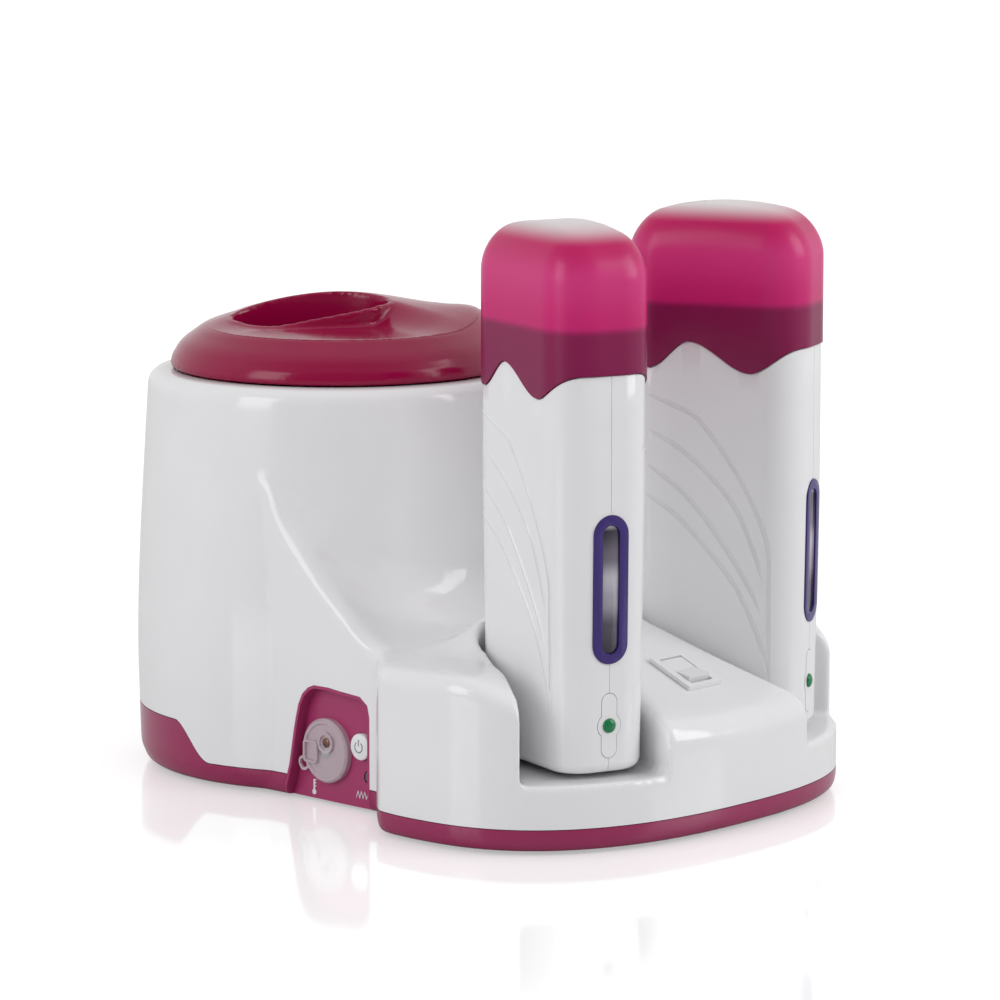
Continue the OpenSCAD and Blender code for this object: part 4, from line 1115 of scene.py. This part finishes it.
def capSkin(inset, low=()):
    # rings from the wavy edge up and over to the middle of the top
    look = capLook
    side, edge, top = inset - look["proud"], look["round"] - look["proud"], look["top"] - inset
    heights = [waveAt] + list(low) + [look["shoulder"]]
    rings = [sectionRing(side, height) for height in heights]
    rings += [sectionRing(*ring) for ring in capRings(inset)]
    return rings + [sectionRing(edge, lambda y: top - look["crown"] * y * y, squash)
                    for squash in (0.75, 0.5, 0.25, 0)]


def makeCap(side, place):
    top = capLook["top"]
    outer = capSkin(0, [lambda y: waveAt(y) + 8])
    cap = lofted(capSkin(capLook["wall"])[::-1] + outer, place)
    for x, y in capLook["vents"]:
        cut(cap, cylinder(0.8, top - 8, top + 8, place @ Matrix.Translation((x, y, 0)), 24))
    finishPiece(cap, side + "Cap", side + "_cap", capPaintedGlow, [side + "_cap"], 50)


for side in sides:
    place = handsetFrame(side)
    makeShells(side, place)
    makeWindow(side, place)
    makeLamp(side, place)
    makeCap(side, place)
    print(side, "handset")


# floor, light and camera

studio = {
    "floor": "#dcdcdc", "floorGloss": 0.08, "lift": 0.42, "floorHalf": 30, "floorZ": -0.0003,
    "sky": 0.62, "bright": 0.85, "dim": 0.12, "dimSide": (-0.75, -0.65, 0.05), "dimFrom": (0.1, 0.85),
    "aim": (0, 0, 0.1),
    "lens": 188.8, "sensor": 36, "eye": (-1.5344, -1.3675, 0.4287), "eyeTurn": (81.23, 0, -48.743),
}

floorMaterial = bpy.data.materials.new("glossyFloor")
floorMaterial.use_nodes = True
floorTree = floorMaterial.node_tree
floorShader = floorTree.nodes["Principled BSDF"]
floorShader.inputs["Base Color"].default_value = linear(studio["floor"])
floorShader.inputs["Roughness"].default_value = studio["floorGloss"]
seen = addNode(floorTree, "ShaderNodeLightPath")
lift = addNode(floorTree, "ShaderNodeMath", {"operation": "MULTIPLY", 1: studio["lift"]},
               {0: seen.outputs["Is Camera Ray"]})
floorShader.inputs["Emission Color"].default_value = (1, 1, 1, 1)
floorTree.links.new(lift.outputs[0], floorShader.inputs["Emission Strength"])
bm = bmesh.new()
bmesh.ops.create_grid(bm, x_segments=1, y_segments=1, size=studio["floorHalf"])
floor = toObject(bm, "floor")
floor.location.z = studio["floorZ"]
floor.data.materials.append(floorMaterial)

scene.view_settings.view_transform = "Standard"
world = bpy.data.worlds.new("studio")
scene.world = world
world.use_nodes = True
sky = world.node_tree.nodes["Background"]
sky.inputs["Color"].default_value = (1, 1, 1, 1)
paths = addNode(world.node_tree, "ShaderNodeLightPath")
# mirrored rays see a dim room on the camera's side and the bright backdrop everywhere else
heading = addNode(world.node_tree, "ShaderNodeTexCoord").outputs["Generated"]
towards = addNode(world.node_tree, "ShaderNodeVectorMath",
                  {"operation": "DOT_PRODUCT", 1: studio["dimSide"]}, {0: heading})
low, high = studio["dimFrom"]
mirrored = addNode(world.node_tree, "ShaderNodeMapRange",
                   {"From Min": low, "From Max": high, "To Min": studio["bright"], "To Max": studio["dim"]},
                   {"Value": towards.outputs["Value"]})
glossy = addNode(world.node_tree, "ShaderNodeMix", {"data_type": "FLOAT", 2: studio["sky"]},
                 {0: paths.outputs["Is Glossy Ray"], 3: mirrored.outputs["Result"]})
straight = addNode(world.node_tree, "ShaderNodeMath", {"operation": "MAXIMUM"},
                   {0: paths.outputs["Is Camera Ray"], 1: paths.outputs["Is Transmission Ray"]})
level = addNode(world.node_tree, "ShaderNodeMix", {"data_type": "FLOAT", 3: 1.0},
                {0: straight.outputs[0], 2: glossy.outputs[0]})
world.node_tree.links.new(level.outputs[0], sky.inputs["Strength"])


def softBox(name, place, size, power):
    data = bpy.data.lights.new(name, "AREA")
    data.shape = "RECTANGLE"
    data.size, data.size_y = size
    data.energy = power
    lamp = bpy.data.objects.new(name, data)
    scene.collection.objects.link(lamp)
    lamp.location = place
    lamp.rotation_euler = (Vector(studio["aim"]) - Vector(place)).to_track_quat("-Z", "Y").to_euler()


softBox("rightBox", (0.9, -1.5, 0.9), (0.9, 1.2), 12)
softBox("leftBox", (-1.6, 0.3, 0.7), (0.7, 1.2), 8)

cameraData = bpy.data.cameras.new("camera")
cameraData.lens = studio["lens"]
cameraData.sensor_width = studio["sensor"]
camera = bpy.data.objects.new("camera", cameraData)
scene.collection.objects.link(camera)
camera.location = studio["eye"]
camera.rotation_euler = [math.radians(turn) for turn in studio["eyeTurn"]]
scene.camera = camera
